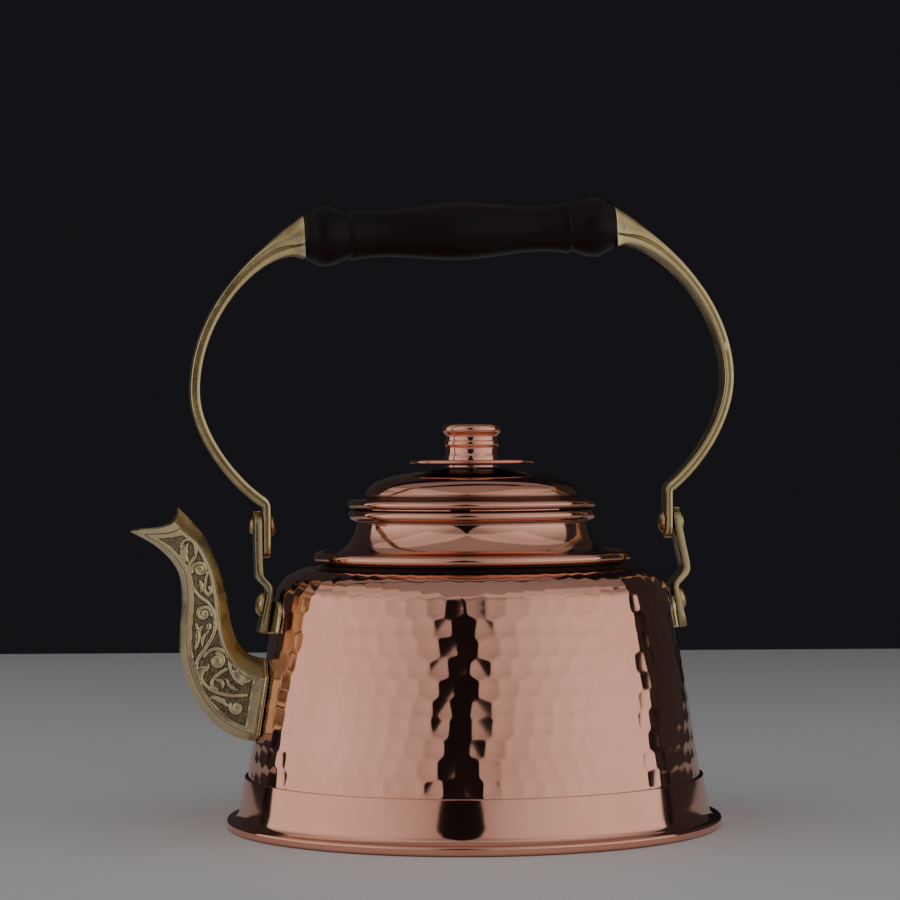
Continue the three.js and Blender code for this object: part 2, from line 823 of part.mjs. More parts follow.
for (const [label, side] of [
  ["left", -1],
  ["right", 1],
]) {
  addPiece("lug_plate_" + label, lugPlate(side), brassAntique);
  addPiece("lug_strap_" + label, lugStrap(side), brassAntique);
  addPiece("lug_rivet_" + label, lugRivet(side), brassAntique);
  addPiece("lug_burr_" + label, lugBurr(side), brassAntique);
  addPiece("pivot_rivet_" + label, pivotRivet(side), brassAntique);
  addPiece("arm_" + label, arm(side), brassAntique, handle);
  addPiece("arm_pin_" + label, armPin(side), steel, handle);
}

export default kettle;
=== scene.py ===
"""A hammered copper stovetop kettle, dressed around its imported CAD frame.

Lengths in this script are millimetres in the row's frame until a mesh is made, which is in metres.
"""
import json
import math

import bmesh
import bpy
import numpy as np
from mathutils import Matrix, Vector


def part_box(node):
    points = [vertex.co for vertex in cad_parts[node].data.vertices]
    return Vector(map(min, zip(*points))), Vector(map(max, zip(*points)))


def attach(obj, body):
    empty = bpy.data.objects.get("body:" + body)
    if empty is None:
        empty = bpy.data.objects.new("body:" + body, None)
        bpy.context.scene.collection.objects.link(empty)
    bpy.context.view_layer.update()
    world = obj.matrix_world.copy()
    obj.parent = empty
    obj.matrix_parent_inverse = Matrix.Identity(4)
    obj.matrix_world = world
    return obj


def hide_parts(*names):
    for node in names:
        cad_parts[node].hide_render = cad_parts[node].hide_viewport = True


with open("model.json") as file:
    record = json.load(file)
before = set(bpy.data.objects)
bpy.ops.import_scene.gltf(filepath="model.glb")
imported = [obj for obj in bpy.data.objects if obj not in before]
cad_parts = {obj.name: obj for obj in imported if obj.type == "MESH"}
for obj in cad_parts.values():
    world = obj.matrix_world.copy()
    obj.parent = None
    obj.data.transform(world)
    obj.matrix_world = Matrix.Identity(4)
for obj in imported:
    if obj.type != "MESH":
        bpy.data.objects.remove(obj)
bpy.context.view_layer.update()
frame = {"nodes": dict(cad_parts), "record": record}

MM = 0.001
GAP = 0.3
SHEET = 1.0
TAU = 2 * math.pi


def span(node):
    """Lowest and highest corner of a CAD node, in millimetres."""
    low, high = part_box(node)
    return np.array(low) / MM, np.array(high) / MM


# Each CAD node's body and material slot, from the record.
BODY_OF = {node: body for body, nodes in frame["record"]["behaviour"]["bodies"].items() for node in nodes}
SLOT_OF = {part["node"]: part["material_slot"] for part in frame["record"]["subparts"]}

# Places taken from the frame.
RIM = span("bottom_plate")[1][1]
SEAM_TOP = span("bottom_plate")[1][2]
BAND_TOP = span("foot_band")[1][2]
BAND_LOW = span("foot_band")[0][2]
NECK_TOP = span("neck_collar")[1][2]
BRIM = span("neck_collar")[1][1]
BRIM_LOW = span("neck_collar")[0][2]
LID_LOW, LID_HIGH = span("lid_shell")
DISC_LOW, DISC_HIGH = span("knob_disc")
KNOB_LOW, KNOB_HIGH = span("knob")
PIVOT = sum(corner[2] for corner in span("pivot_rivet_right")) / 2
STRAP_THICK = 3.1
STRAP_INSIDE = span("lug_strap_right")[1][0] - STRAP_THICK
SPOUT_TIP = -span("spout_half_near")[0][0]
SPOUT_TOP = span("spout_half_near")[1][2]

# The vessel's own sizes.
WALL_FOOT = RIM - 8.7
WALL_TOP = 79.8
WALL_TOP_Z = 92.4
BEND = 9.0
BODY_TOP = 103.4
STEP = BRIM - 3.4
NECK = 46.3
SKIRT_FLARE = 3.0
BEAD = 2.2

# The handle's own sizes.
GRIP_RISE = 118.8
GRIP_LENGTH = 126.6
GRIP_RADIUS = 12.5
BOW_REACH = 109.6
LEAN = math.radians(2.2)
ARM_THICK = 3.9
ARM_WIDTH = 11.0
TAB_INSIDE = 81.4
TAB_THICK = 3.1
TAB_WIDTH = 9.6
STRAP_WIDTH = 10.8


def wall_radius(z):
    return WALL_FOOT + (z - BAND_TOP) * (WALL_TOP - WALL_FOOT) / (WALL_TOP_Z - BAND_TOP)


WALL_SLOPE = math.atan2(WALL_FOOT - WALL_TOP, WALL_TOP_Z - BAND_TOP)


# ---------------------------------------------------------------- curves

def arc(r, z, radius, start, end, steps):
    """Points of an arc in the outline plane; 0 degrees points away from the axis."""
    angles = np.radians(np.linspace(start, end, steps + 1))
    return [(r + radius * math.cos(a), z + radius * math.sin(a)) for a in angles]


def spline(points, t):
    """A uniform Catmull-Rom curve through the points, at shares t of its length in spans."""
    p = np.asarray(points, float)
    t = np.atleast_1d(t) * (len(p) - 1)
    i = np.clip(np.floor(t).astype(int), 0, len(p) - 2)
    w = (t - i)[:, None]
    p0, p1 = p[np.maximum(i - 1, 0)], p[i]
    p2, p3 = p[i + 1], p[np.minimum(i + 2, len(p) - 1)]
    v0, v1 = (p2 - p0) / 2, (p3 - p1) / 2
    return (2 * p1 - 2 * p2 + v0 + v1) * w**3 + (-3 * p1 + 3 * p2 - 2 * v0 - v1) * w**2 + v0 * w + p1


def smooth(points, per=6):
    """The points joined by a smooth curve, with that many steps in each span."""
    return [tuple(q) for q in spline(points, np.linspace(0, 1, per * (len(points) - 1) + 1))]


def travelled(path):
    """Distance along a path to each of its points."""
    return np.concatenate([[0], np.cumsum(np.linalg.norm(np.diff(path, axis=0), axis=1))])


def points_at(path, places):
    """Points of a path at these distances along it."""
    length = travelled(path)
    return np.stack([np.interp(places, length, path[:, i]) for i in (0, 1)], -1)


def directions(path):
    """Unit tangents of a path at its points."""
    tangent = np.gradient(path, axis=0)
    return tangent / np.linalg.norm(tangent, axis=1)[:, None]


def about(r, z, offsets):
    """Profile points given as offsets from one place."""
    return [(r + out, z + up) for out, up in offsets]


def smoothstep(low, high, x):
    t = np.clip((x - low) / (high - low), 0, 1)
    return t * t * (3 - 2 * t)


# ---------------------------------------------------------------- meshes

def grid_quads(rows, cols, wrap_rows, wrap_cols):
    r = np.arange(rows if wrap_rows else rows - 1)
    c = np.arange(cols if wrap_cols else cols - 1)
    r, c = np.meshgrid(r, c, indexing="ij")
    r1, c1 = (r + 1) % rows, (c + 1) % cols
    quads = np.stack([r * cols + c, r * cols + c1, r1 * cols + c1, r1 * cols + c], -1)
    return quads.reshape(-1, 4)


def hypot_xy(points):
    return np.hypot(points[..., 0], points[..., 1])


def corners(obj):
    """The places of a piece's vertices, in millimetres."""
    return np.array([v.co for v in obj.data.vertices]) / MM


def signed_volume(points, faces):
    total = 0.0
    for face in faces:
        a = points[face[:, 0]]
        for k in range(1, face.shape[1] - 1):
            total += np.einsum("ij,ij->i", a, np.cross(points[face[:, k]], points[face[:, k + 1]])).sum()
    return total / 6


def make(name, points, faces, material, node, sharp=35, weld=False):
    """A smooth-shaded piece in place of a CAD node, from points in millimetres and lists of face arrays."""
    points = np.asarray(points, float).reshape(-1, 3)
    if signed_volume(points, faces) < 0:
        faces = [f[:, ::-1] for f in faces]
    mesh = bpy.data.meshes.new(name)
    mesh.from_pydata((points * MM).tolist(), [], [q for f in faces for q in f.tolist()])
    if weld:
        edit = bmesh.new()
        edit.from_mesh(mesh)
        bmesh.ops.remove_doubles(edit, verts=edit.verts, dist=1e-7)
        edit.to_mesh(mesh)
        edit.free()
    mesh.polygons.foreach_set("use_smooth", [True] * len(mesh.polygons))
    mesh.set_sharp_from_angle(angle=math.radians(sharp))
    mesh.materials.append(material)
    obj = bpy.data.objects.new(name, mesh)
    bpy.context.scene.collection.objects.link(obj)
    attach(obj, BODY_OF[node])
    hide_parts(node)
    return obj


def revolved(profile, steps):
    """Points of a profile turned about Z, one row for each profile point."""
    profile = np.asarray(profile, float)
    angle = np.arange(steps) * TAU / steps
    x = profile[:, :1] * np.cos(angle)
    y = profile[:, :1] * np.sin(angle)
    z = np.repeat(profile[:, 1:], steps, 1)
    return np.stack([x, y, z], -1)


def lathe(name, profile, material, node, steps=144, place=None):
    """A turned piece. The profile closes on itself, or starts and ends on the axis."""
    profile = list(profile)
    on_axis = abs(profile[0][0]) < 1e-9 and abs(profile[-1][0]) < 1e-9
    points = revolved(profile, steps).reshape(-1, 3)
    quads = grid_quads(len(profile), steps, not on_axis, True)
    if place is not None:
        matrix = np.array(place)
        points = points @ matrix[:3, :3].T + matrix[:3, 3]
    return make(name, points, [quads], material, node, weld=on_axis)


def sweep(name, rings, material, node, sharp=35):
    """A skin through closed rings, capped at both ends."""
    rings = np.asarray(rings, float)
    rows, cols = rings.shape[:2]
    quads = grid_quads(rows, cols, False, True)
    first = np.arange(cols)[::-1][None]
    last = ((rows - 1) * cols + np.arange(cols))[None]
    return make(name, rings, [quads, first, last], material, node, sharp)


def channel(name, outer, inner, material, node, sharp):
    """A skin through rings that run along an outer and back along an inner line, with a strip at each end."""
    rings = np.concatenate([outer, inner[:, ::-1]], 1)
    rows, cols = rings.shape[:2]
    k = np.arange(cols // 2 - 1)
    first = np.stack([k, cols - 1 - k, cols - 2 - k, k + 1], -1)
    last = first[:, ::-1] + (rows - 1) * cols
    return make(name, rings, [grid_quads(rows, cols, False, True), first, last], material, node, sharp)


# ---------------------------------------------------------------- materials

def new_material(name):
    material = bpy.data.materials.new(name)
    material.use_nodes = True
    tree = material.node_tree
    return material, tree, tree.nodes["Principled BSDF"]


def noise(tree, scale, detail=3.0, rough=0.55, stretch=(1, 1, 1)):
    """Noise in object space, with an optional stretch; returns its value socket."""
    coords = tree.nodes.new("ShaderNodeTexCoord")
    mapping = tree.nodes.new("ShaderNodeMapping")
    mapping.inputs["Scale"].default_value = stretch
    texture = tree.nodes.new("ShaderNodeTexNoise")
    texture.inputs["Scale"].default_value = scale
    texture.inputs["Detail"].default_value = detail
    texture.inputs["Roughness"].default_value = rough
    tree.links.new(coords.outputs["Object"], mapping.inputs["Vector"])
    tree.links.new(mapping.outputs["Vector"], texture.inputs["Vector"])
    return texture.outputs["Fac"]


def ramp(tree, source, stops):
    """A colour ramp over a value; each stop is a place and a colour."""
    node = tree.nodes.new("ShaderNodeValToRGB")
    elements = node.color_ramp.elements
    for element, (place, colour) in zip(elements, (stops[0], stops[-1])):
        element.position = place
        element.color = (*colour, 1)
    for place, colour in stops[1:-1]:
        elements.new(place).color = (*colour, 1)
    tree.links.new(source, node.inputs["Fac"])
    return node.outputs["Color"]


def remap(tree, source, low, high, to_low, to_high):
    node = tree.nodes.new("ShaderNodeMapRange")
    for key, value in (("From Min", low), ("From Max", high), ("To Min", to_low), ("To Max", to_high)):
        node.inputs[key].default_value = value
    tree.links.new(source, node.inputs["Value"])
    return node.outputs["Result"]


def mix_colour(tree, factor, a, b):
    node = tree.nodes.new("ShaderNodeMix")
    node.data_type = "RGBA"
    for socket, value in ((node.inputs[0], factor), (node.inputs[6], a), (node.inputs[7], b)):
        if isinstance(value, tuple):
            socket.default_value = (*value, 1)
        elif isinstance(value, float):
            socket.default_value = value
        else:
            tree.links.new(value, socket)
    return node.outputs[2]


def bump(tree, shader, height, strength, distance):
    node = tree.nodes.new("ShaderNodeBump")
    node.inputs["Strength"].default_value = strength
    node.inputs["Distance"].default_value = distance
    tree.links.new(height, node.inputs["Height"])
    tree.links.new(node.outputs["Normal"], shader.inputs["Normal"])


def paint(obj, name, values):
    """Stores one value for each vertex, for a material to read."""
    layer = obj.data.attributes.new(name, "FLOAT", "POINT")
    layer.data.foreach_set("value", np.clip(values, 0, 1).ravel().astype(np.float32))


def attribute(tree, name):
    node = tree.nodes.new("ShaderNodeAttribute")
    node.attribute_name = name
    return node.outputs["Fac"]


COPPER_BRIGHT = (0.90, 0.435, 0.315)
COPPER_DEEP = (0.85, 0.385, 0.27)
COPPER_SPOT = (0.50, 0.24, 0.16)
# Painted shade colour: a dark tarnish brown that stands for shade under the brim, the disc and in creases.
PAINTED_SHADE = (0.20, 0.125, 0.10)
BRASS_BRIGHT = (0.76, 0.56, 0.25)
BRASS_MIDDLE = (0.58, 0.42, 0.18)
BRASS_DULL = (0.36, 0.25, 0.10)
BRASS_WORN = (0.90, 0.74, 0.43)
# Pale brass for the engraved spout: rubbed wear and partly a painted highlight.
BRASS_RUBBED_HIGHLIGHT = (0.95, 0.79, 0.49)
PATINA = (0.038, 0.025, 0.014)
WOOD_DARK = (0.006, 0.005, 0.005)


def copper(name, rough_low, rough_high):
    """Polished copper: faint clouds, fine lines and a few spots, with painted shade where "seam" is set:
    darker brown and a little rougher under the brim and the knob disc and in creases.
    """
    material, tree, shader = new_material(name)
    shader.inputs["Metallic"].default_value = 1.0
    clouds = noise(tree, 18, 4)
    tone = ramp(tree, clouds, [(0.30, COPPER_DEEP), (0.62, COPPER_BRIGHT)])
    spots = noise(tree, 160, 2)
    spot_mask = remap(tree, spots, 0.70, 0.80, 0.0, 0.35)
    tone = mix_colour(tree, spot_mask, tone, COPPER_SPOT)
    # Painted shade: where "seam" is set the copper is darkened towards a dark tarnish brown.
    seam = attribute(tree, "seam")
    tree.links.new(mix_colour(tree, seam, tone, PAINTED_SHADE), shader.inputs["Base Color"])
    wipes = noise(tree, 40, 5, 0.6, (1, 1, 0.25))
    polish = remap(tree, wipes, 0.3, 0.7, rough_low, rough_high)
    dull = tree.nodes.new("ShaderNodeMath")
    dull.operation = "MULTIPLY_ADD"
    dull.inputs[1].default_value = 0.25
    tree.links.new(seam, dull.inputs[0])
    tree.links.new(polish, dull.inputs[2])
    tree.links.new(dull.outputs[0], shader.inputs["Roughness"])
    fine = noise(tree, 900, 2, 0.5, (1, 1, 0.2))
    bump(tree, shader, fine, 0.04, 0.00008)
    return material


def brass(name, engraved, shade_darkening=0.0):
    """Antique brass, rubbed on the high places and brown in the low ones; engraved brass is first lightened
    overall, rubbed wear and painted highlight together, and "ground" then darkens it.
    """
    material, tree, shader = new_material(name)
    shader.inputs["Metallic"].default_value = 1.0
    mottle = noise(tree, 90, 5, 0.62)
    tone = ramp(tree, mottle, [(0.30, BRASS_DULL), (0.55, BRASS_MIDDLE), (0.74, BRASS_BRIGHT)])
    geometry = tree.nodes.new("ShaderNodeNewGeometry")
    worn = remap(tree, geometry.outputs["Pointiness"], 0.50, 0.56, 0.0, 0.8)
    tone = mix_colour(tree, worn, tone, BRASS_WORN)
    hollow = remap(tree, geometry.outputs["Pointiness"], 0.485, 0.44, 0.0, 0.85)
    tone = mix_colour(tree, hollow, tone, PATINA)
    rough = remap(tree, mottle, 0.3, 0.7, 0.18, 0.34)
    if engraved:
        # Rubbed wear and painted highlight: the engraved brass is lightened towards pale brass so the raised
        # scrollwork looks as bright as shiny lit brass.
        tone = mix_colour(tree, 0.62, tone, BRASS_RUBBED_HIGHLIGHT)
        ground = attribute(tree, "ground")
        grit = noise(tree, 700, 2)
        broken = remap(tree, grit, 0.35, 0.75, 1.0, 0.78)
        mask = tree.nodes.new("ShaderNodeMath")
        mask.operation = "MULTIPLY"
        tree.links.new(ground, mask.inputs[0])
        tree.links.new(broken, mask.inputs[1])
        tone = mix_colour(tree, mask.outputs[0], tone, PATINA)
    # Painted shade: the last argument darkens the whole tone towards patina brown; the straps use it to dim
    # their brightly lit bevels.
    tree.links.new(mix_colour(tree, shade_darkening, tone, PATINA), shader.inputs["Base Color"])
    tree.links.new(rough, shader.inputs["Roughness"])
    grain = noise(tree, 420, 4, 0.6)
    bump(tree, shader, grain, 0.22, 0.0002)
    return material


def dark_wood():
    """Nearly black lacquered wood: red-brown streaks along the grain under a glossy coat."""
    material, tree, shader = new_material("dark_wood")
    streaks = noise(tree, 60, 6, 0.65, (0.12, 1, 1))
    broad = noise(tree, 14, 2, 0.5, (0.4, 1, 1))
    grain = ramp(tree, streaks, [(0.35, (0.006, 0.004, 0.004)), (0.60, (0.020, 0.008, 0.006)),
                                 (0.78, (0.060, 0.018, 0.010))])
    depth = remap(tree, broad, 0.35, 0.7, 0.1, 0.9)
    tree.links.new(mix_colour(tree, depth, WOOD_DARK, grain), shader.inputs["Base Color"])
    tree.links.new(remap(tree, streaks, 0.3, 0.7, 0.30, 0.42), shader.inputs["Roughness"])
    shader.inputs["Specular IOR Level"].default_value = 0.16
    shader.inputs["Coat Weight"].default_value = 0.04
    shader.inputs["Coat Roughness"].default_value = 0.2
    bump(tree, shader, streaks, 0.12, 0.0002)
    return material


def steel():
    """Plain turned steel with fine lines and faint discolouring."""
    material, tree, shader = new_material("steel")
    shader.inputs["Metallic"].default_value = 1.0
    lines = noise(tree, 300, 4, 0.6, (1, 1, 6))
    tree.links.new(ramp(tree, lines, [(0.3, (0.38, 0.37, 0.35)), (0.7, (0.60, 0.59, 0.57))]),
                   shader.inputs["Base Color"])
    tree.links.new(remap(tree, lines, 0.3, 0.7, 0.28, 0.45), shader.inputs["Roughness"])
    bump(tree, shader, lines, 0.1, 0.0001)
    return material


COPPER_HAMMERED = copper("copper_hammered", 0.055, 0.12)
COPPER_POLISHED = copper("copper_polished", 0.05, 0.11)
BRASS = brass("brass_antique", False)
BRASS_SPOUT = brass("brass_spout", True)
# Painted shade: a darker copy of the brass for the lug straps.
BRASS_STRAP_SHADED = brass("brass_strap_shaded", False, 0.38)
WOOD = dark_wood()
STEEL = steel()


def dress_frame():
    """CAD nodes that stay: small inner pieces, each with its slot's material."""
    by_slot = {"copper_hammered": COPPER_HAMMERED, "copper_polished": COPPER_POLISHED,
               "brass_antique": BRASS, "brass_spout": BRASS_SPOUT, "dark_wood": WOOD, "steel": STEEL}
    for node, obj in frame["nodes"].items():
        for place in obj.material_slots:
            place.material = by_slot[SLOT_OF[node]]


# ---------------------------------------------------------------- vessel

HAMMER_PITCH = 7.6
HAMMER_HOLLOW = 0.0115  # rise of a dent's floor with the square of the distance from its middle, per mm
HAMMER_SOFTNESS = 22.0  # how tightly neighbouring dents meet; larger is a crisper ridge


def shell_outer():
    """The wall and shoulder, evenly stepped; these points get the hammer marks."""
    bend_start = WALL_TOP_Z - 1.6
    wall = [(WALL_FOOT, BAND_TOP - 0.5), (wall_radius(bend_start), bend_start)]
    crest = BODY_TOP + 0.1
    bend = [wall[1],
            *about(WALL_TOP, crest, [(-0.85, -8.3), (-2.6, -5.2), (-5.6, -2.5), (-9.2, -0.75), (-12.4, 0)]),
            *about(STEP, crest, [(3.0, -0.2), (1.5, -0.3)])]
    fine = np.asarray(smooth(bend, 10))
    path = np.vstack([np.linspace(wall[0], wall[1], 60)[:-1], fine])
    even = np.arange(0, travelled(path)[-1], 0.62)
    return points_at(path, even), even


def hammer_depth(radius, along, angle):
    """Depth of the hammer marks: rows of shallow round dents whose rims run into each other."""
    rng = np.random.default_rng(41)
    row_count = int(along[-1] // HAMMER_PITCH) + 3
    rows = []
    for row in range(row_count):
        place = (row - 0.5) * HAMMER_PITCH
        r = float(np.interp(place, along, radius))
        count = int(round(TAU * r / (HAMMER_PITCH * 1.04)))
        start = rng.uniform(0, 1)
        rows.append({
            "count": count,
            "start": start,
            "turn": rng.uniform(-0.13, 0.13, count),
            "along": place + rng.normal(0, 0.32, count),
            "deep": rng.uniform(0.13, 0.20, count),
            "hollow": HAMMER_HOLLOW * rng.uniform(0.85, 1.2, count),
        })
    total = np.zeros((len(along), len(angle)))
    nearest_row = np.floor(along / HAMMER_PITCH + 0.5).astype(int)
    for i, s in enumerate(along):
        for row in range(max(nearest_row[i] - 1, 0), min(nearest_row[i] + 3, row_count)):
            dents = rows[row]
            share = angle / TAU * dents["count"] - dents["start"]
            base = np.floor(share).astype(int)
            for step in (-1, 0, 1, 2):
                k = (base + step) % dents["count"]
                gap = (share - (base + step) - dents["turn"][k]) * TAU / dents["count"] * radius[i]
                level = dents["hollow"][k] * (gap**2 + (s - dents["along"][k]) ** 2) - dents["deep"][k]
                total[i] += np.exp(-HAMMER_SOFTNESS * level)
    return np.log(total) / HAMMER_SOFTNESS


def body_shell():
    steps = 864
    outer, along = shell_outer()
    angle = np.arange(steps) * TAU / steps
    depth = np.clip(hammer_depth(outer[:, 0], along, angle), -0.1, 0.4)
    fade = smoothstep(0, 1.5, along) * (1 - smoothstep(along[-1] - 3.5, along[-1], along))
    depth *= fade[:, None]
    tangent = directions(outer)
    normal = np.stack([tangent[:, 1], -tangent[:, 0]], -1)
    r = outer[:, :1] - normal[:, :1] * depth
    z = outer[:, 1:] - normal[:, 1:] * depth
    hammered = np.stack([r * np.cos(angle), r * np.sin(angle), z], -1)
    lip = NECK + 4.1
    above = [(STEP + 1.1, 103.6), (STEP + 0.1, 105.1), *arc(STEP - 0.5, 105.0, 0.6, 30, 90, 4),
             (lip + 2, 105.65), *arc(lip + 0.9, 106.6, 0.95, 265, 185, 4),
             (lip, 111.5), (lip - 0.5, 111.8), (lip - SHEET, 111.5)]
    inner = [(lip - SHEET, 106.4), (lip + 0.4, 104.65), (STEP - 1.4, 104.6), (STEP - 1.1, 102.4),
             (67.0, 101.3), *arc(WALL_TOP - BEND, WALL_TOP_Z, BEND - SHEET, 78, 8, 8),
             (WALL_TOP - SHEET, WALL_TOP_Z), (WALL_FOOT - SHEET, BAND_TOP),
             (WALL_FOOT + SKIRT_FLARE - SHEET, BAND_LOW)]
    below = [(WALL_FOOT + SKIRT_FLARE, BAND_LOW), (WALL_FOOT + 0.2, BAND_TOP - 1.2)]
    rest = revolved([*above, *inner, *below], steps)
    points = np.concatenate([hammered, rest])
    quads = grid_quads(len(points), steps, True, True)
    obj = make("body_shell_hammered", points, [quads], COPPER_HAMMERED, "body_shell", sharp=50)
    # Painted shade through "seam": the step face under the brim, the lip inside the collar and the shoulder
    # next to the step are darkened.
    seam = np.zeros(points.shape[:2])
    seam[len(hammered):len(hammered) + len(above)] = 1
    on_shoulder = hammered[..., 2] > BODY_TOP - 2
    seam[:len(hammered)] = smoothstep(STEP + 4.2, STEP + 1.6, hypot_xy(hammered)) * on_shoulder
    paint(obj, "seam", seam)


def foot_band():
    inner = WALL_FOOT + GAP
    outer = inner + SHEET
    low = WALL_FOOT + SKIRT_FLARE + GAP
    slope = SKIRT_FLARE / (BAND_TOP - BAND_LOW)
    profile = [
        *arc(outer - 0.5, BAND_TOP - 0.5, 0.5, 180, 0, 8),
        (outer + slope * 4, BAND_TOP - 4),
        *smooth([(outer + slope * 9, BAND_TOP - 9), (outer + slope * 13, BAND_TOP - 13),
                 (outer + slope * 15.4 + 0.3, 5.1), (low + SHEET + 1.2, 3.5), (low + SHEET + 2.4, 2.75)], 6),
        (RIM - SHEET - GAP, BAND_LOW + SHEET),
        (RIM - SHEET - GAP, BAND_LOW),
        (low, BAND_LOW),
    ]
    return lathe("foot_band_smooth", profile, COPPER_POLISHED, "foot_band", 288)


def bottom_plate():
    edge = 1.35
    fold_in = RIM - 3.8
    under = BAND_LOW + SHEET + GAP
    profile = [
        (0, 0), (60, 0), (RIM - 3, 0),
        *arc(RIM - edge, edge, edge, -90, 0, 8),
        (RIM - 0.12, SEAM_TOP / 2),
        *arc(RIM - edge, SEAM_TOP - edge, edge, 0, 90, 8),
        *arc(fold_in + 0.5, SEAM_TOP - 0.5, 0.5, 90, 180, 4),
        (fold_in, under), (RIM - SHEET, under), (RIM - SHEET, SHEET), (60, SHEET), (0, SHEET),
    ]
    return lathe("base_sheet", profile, COPPER_POLISHED, "bottom_plate", 288)


def neck_collar():
    half = SHEET / 2
    bead_z = NECK_TOP - BEAD
    brim_r = BRIM - BEAD
    brim_z = BRIM_LOW + BEAD
    outer = [
        *arc(NECK + 1.6, bead_z, BEAD, 110, -95, 22),
        *smooth([*about(NECK + half, bead_z, [(0.05, -2.6), (0.1, -4.4), (0.9, -7.2), (2.4, -10.2),
                                              (4.9, -13.2), (8.4, -15.5)]),
                 *about(brim_r, bead_z, [(-3.2, -16.7), (-1.7, -16.1)])], 7),
        *arc(brim_r, brim_z, BEAD, 130, -165, 30),
    ]
    inner = smooth([(brim_r - 3.4, brim_z - 0.9),
                    *about(NECK - half, bead_z, [(9.0, -16.5), (5.2, -14.2), (2.5, -10.6), (0.9, -7.2),
                                                 (0.1, -4.0), (0, -1.0), (0.1, 0.9)])], 5)
    obj = lathe("neck_collar_flared", [*outer, *inner], COPPER_POLISHED, "neck_collar", 216)
    places = corners(obj)
    reach, height = hypot_xy(places), places[:, 2]
    # Painted shade through "seam": under the brim bead, in the groove of the flare, below the neck bead and
    # above it where the lid covers it.
    under = smoothstep(brim_z - 0.7, brim_z - 1.3, height) * (reach > brim_r - 3)
    groove = smoothstep(NECK + 5.5, NECK + 9, reach) * smoothstep(brim_r - 0.9, brim_r - 1.7, reach)
    below_bead = smoothstep(bead_z - 1.4, bead_z - 1.9, height) * smoothstep(NECK + 2.6, NECK + 1.8, reach)
    below_bead *= smoothstep(bead_z - 3.8, bead_z - 2.8, height)
    above_bead = smoothstep(bead_z + 1.0, bead_z + 1.5, height)
    paint(obj, "seam", np.max([under, 0.7 * groove, 0.8 * below_bead, 0.8 * above_bead], axis=0))


# ---------------------------------------------------------------- lid and knob

def lid_shell():
    top = LID_HIGH[2]
    reach = LID_HIGH[1]
    bead = 1.7
    bead_r, bead_z = reach - bead, LID_LOW[2] + bead
    side = bead_r - 6
    outer = [
        (2.3, top), (8, top), (10.6, top),
        *smooth([*about(0, top, [(11.4, -0.1), (20, -0.95), (31.2, -2.7), (37.4, -4.6), (40.8, -6.5),
                                 (42.5, -8.5), (43.2, -10.2), (side + 0.4, -11.2)]),
                 *about(side, bead_z, [(-0.1, 2.3), (1.2, 1.85), (3.6, 1.72)])], 7),
        *arc(bead_r, bead_z, bead, 86, -140, 24),
    ]
    inner = [
        (bead_r - 1.9, bead_z + 0.7), (side - 1.7, bead_z + 0.7),
        *smooth([(side - 1.8, bead_z + 2.4),
                 *about(0, top, [(side - 1.4, -9.6), (40.4, -8.0), (38.8, -6.4), (35.9, -4.9), (30.8, -3.5),
                                 (19.6, -2.0), (11, -1.1)])], 4),
        (2.3, top - 1.1),
    ]
    obj = lathe("lid_domed", [*outer, *inner], COPPER_POLISHED, "lid_shell", 216)
    places = corners(obj)
    out, height = hypot_xy(places), places[:, 2]
    # Painted shade through "seam": under the knob disc, in the crease above the skirt and under the rim bead.
    crease = smoothstep(top - 9.6, top - 10.3, height) * smoothstep(bead_r - 0.6, bead_r - 1.4, out)
    below = smoothstep(bead_z - 0.5, bead_z - 1.1, height)
    paint(obj, "seam", np.max([smoothstep(25, 17, out), 0.8 * crease, 0.8 * below], axis=0))


def knob_foot():
    low = span("knob_foot")[0][2]
    top = DISC_LOW[2] - 0.1
    profile = [(2.3, low), (10.4, low), (10.75, low + 0.2), (10.85, (low + top) / 2), (10.75, top - 0.2),
               (10.4, top), (2.3, top)]
    return lathe("knob_foot_pad", profile, COPPER_POLISHED, "knob_foot", 96)


def knob_disc():
    low, top, reach = DISC_LOW[2] - 0.1, DISC_HIGH[2], DISC_HIGH[1]
    edge = 0.78
    profile = [
        (2.3, low), (10, low), *smooth([(13, low + 0.02), (18, low + 0.1), (21.5, low + 0.35)], 4),
        *arc(reach - edge, top - edge, edge, -80, 110, 14),
        *smooth([(22.5, top - 0.35), (18, top - 0.42), (11, top - 0.42)], 4), (2.3, top - 0.42),
    ]
    obj = lathe("knob_disc_dished", profile, COPPER_POLISHED, "knob_disc", 144)
    # Painted shade through "seam" on the disc's underside.
    paint(obj, "seam", smoothstep(low + 0.5, low + 0.3, corners(obj)[:, 2]))


def knob():
    low, top, reach = KNOB_LOW[2], KNOB_HIGH[2], KNOB_HIGH[1]
    bead = 2.15
    hole = low + 9.0
    profile = [
        (0, hole), (2.3, hole), (2.3, low), *about(reach, low, [(-1.3, 0), (-1.05, 0.25)]),
        *smooth(about(reach, low, [(-1.05, 0.9), (-1.2, 1.8), (-1.45, 2.6)]), 5),
        *smooth(about(reach, low, [(-1.6, 3.1), (-1.55, 4.6), (-1.5, 5.3)]), 5),
        *smooth(about(reach, low, [(-1.25, 5.6), (-0.95, 6.3), (-0.9, 7.1), (-1.1, 7.9), (-1.35, 8.2)]), 5),
        *smooth(about(reach, low, [(-1.4, 8.6), (-1.4, 9.6), (-1.3, 10.1)]), 4),
        *arc(reach - bead, top - bead - 0.25, bead, -56, 62, 18),
        *smooth([*about(reach, top, [(-2.0, -0.28), (-4.6, -0.12), (-8, -0.03)]), (0, top)], 5),
    ]
    return lathe("knob_turned", profile, COPPER_POLISHED, "knob", 120)


# ---------------------------------------------------------------- spout

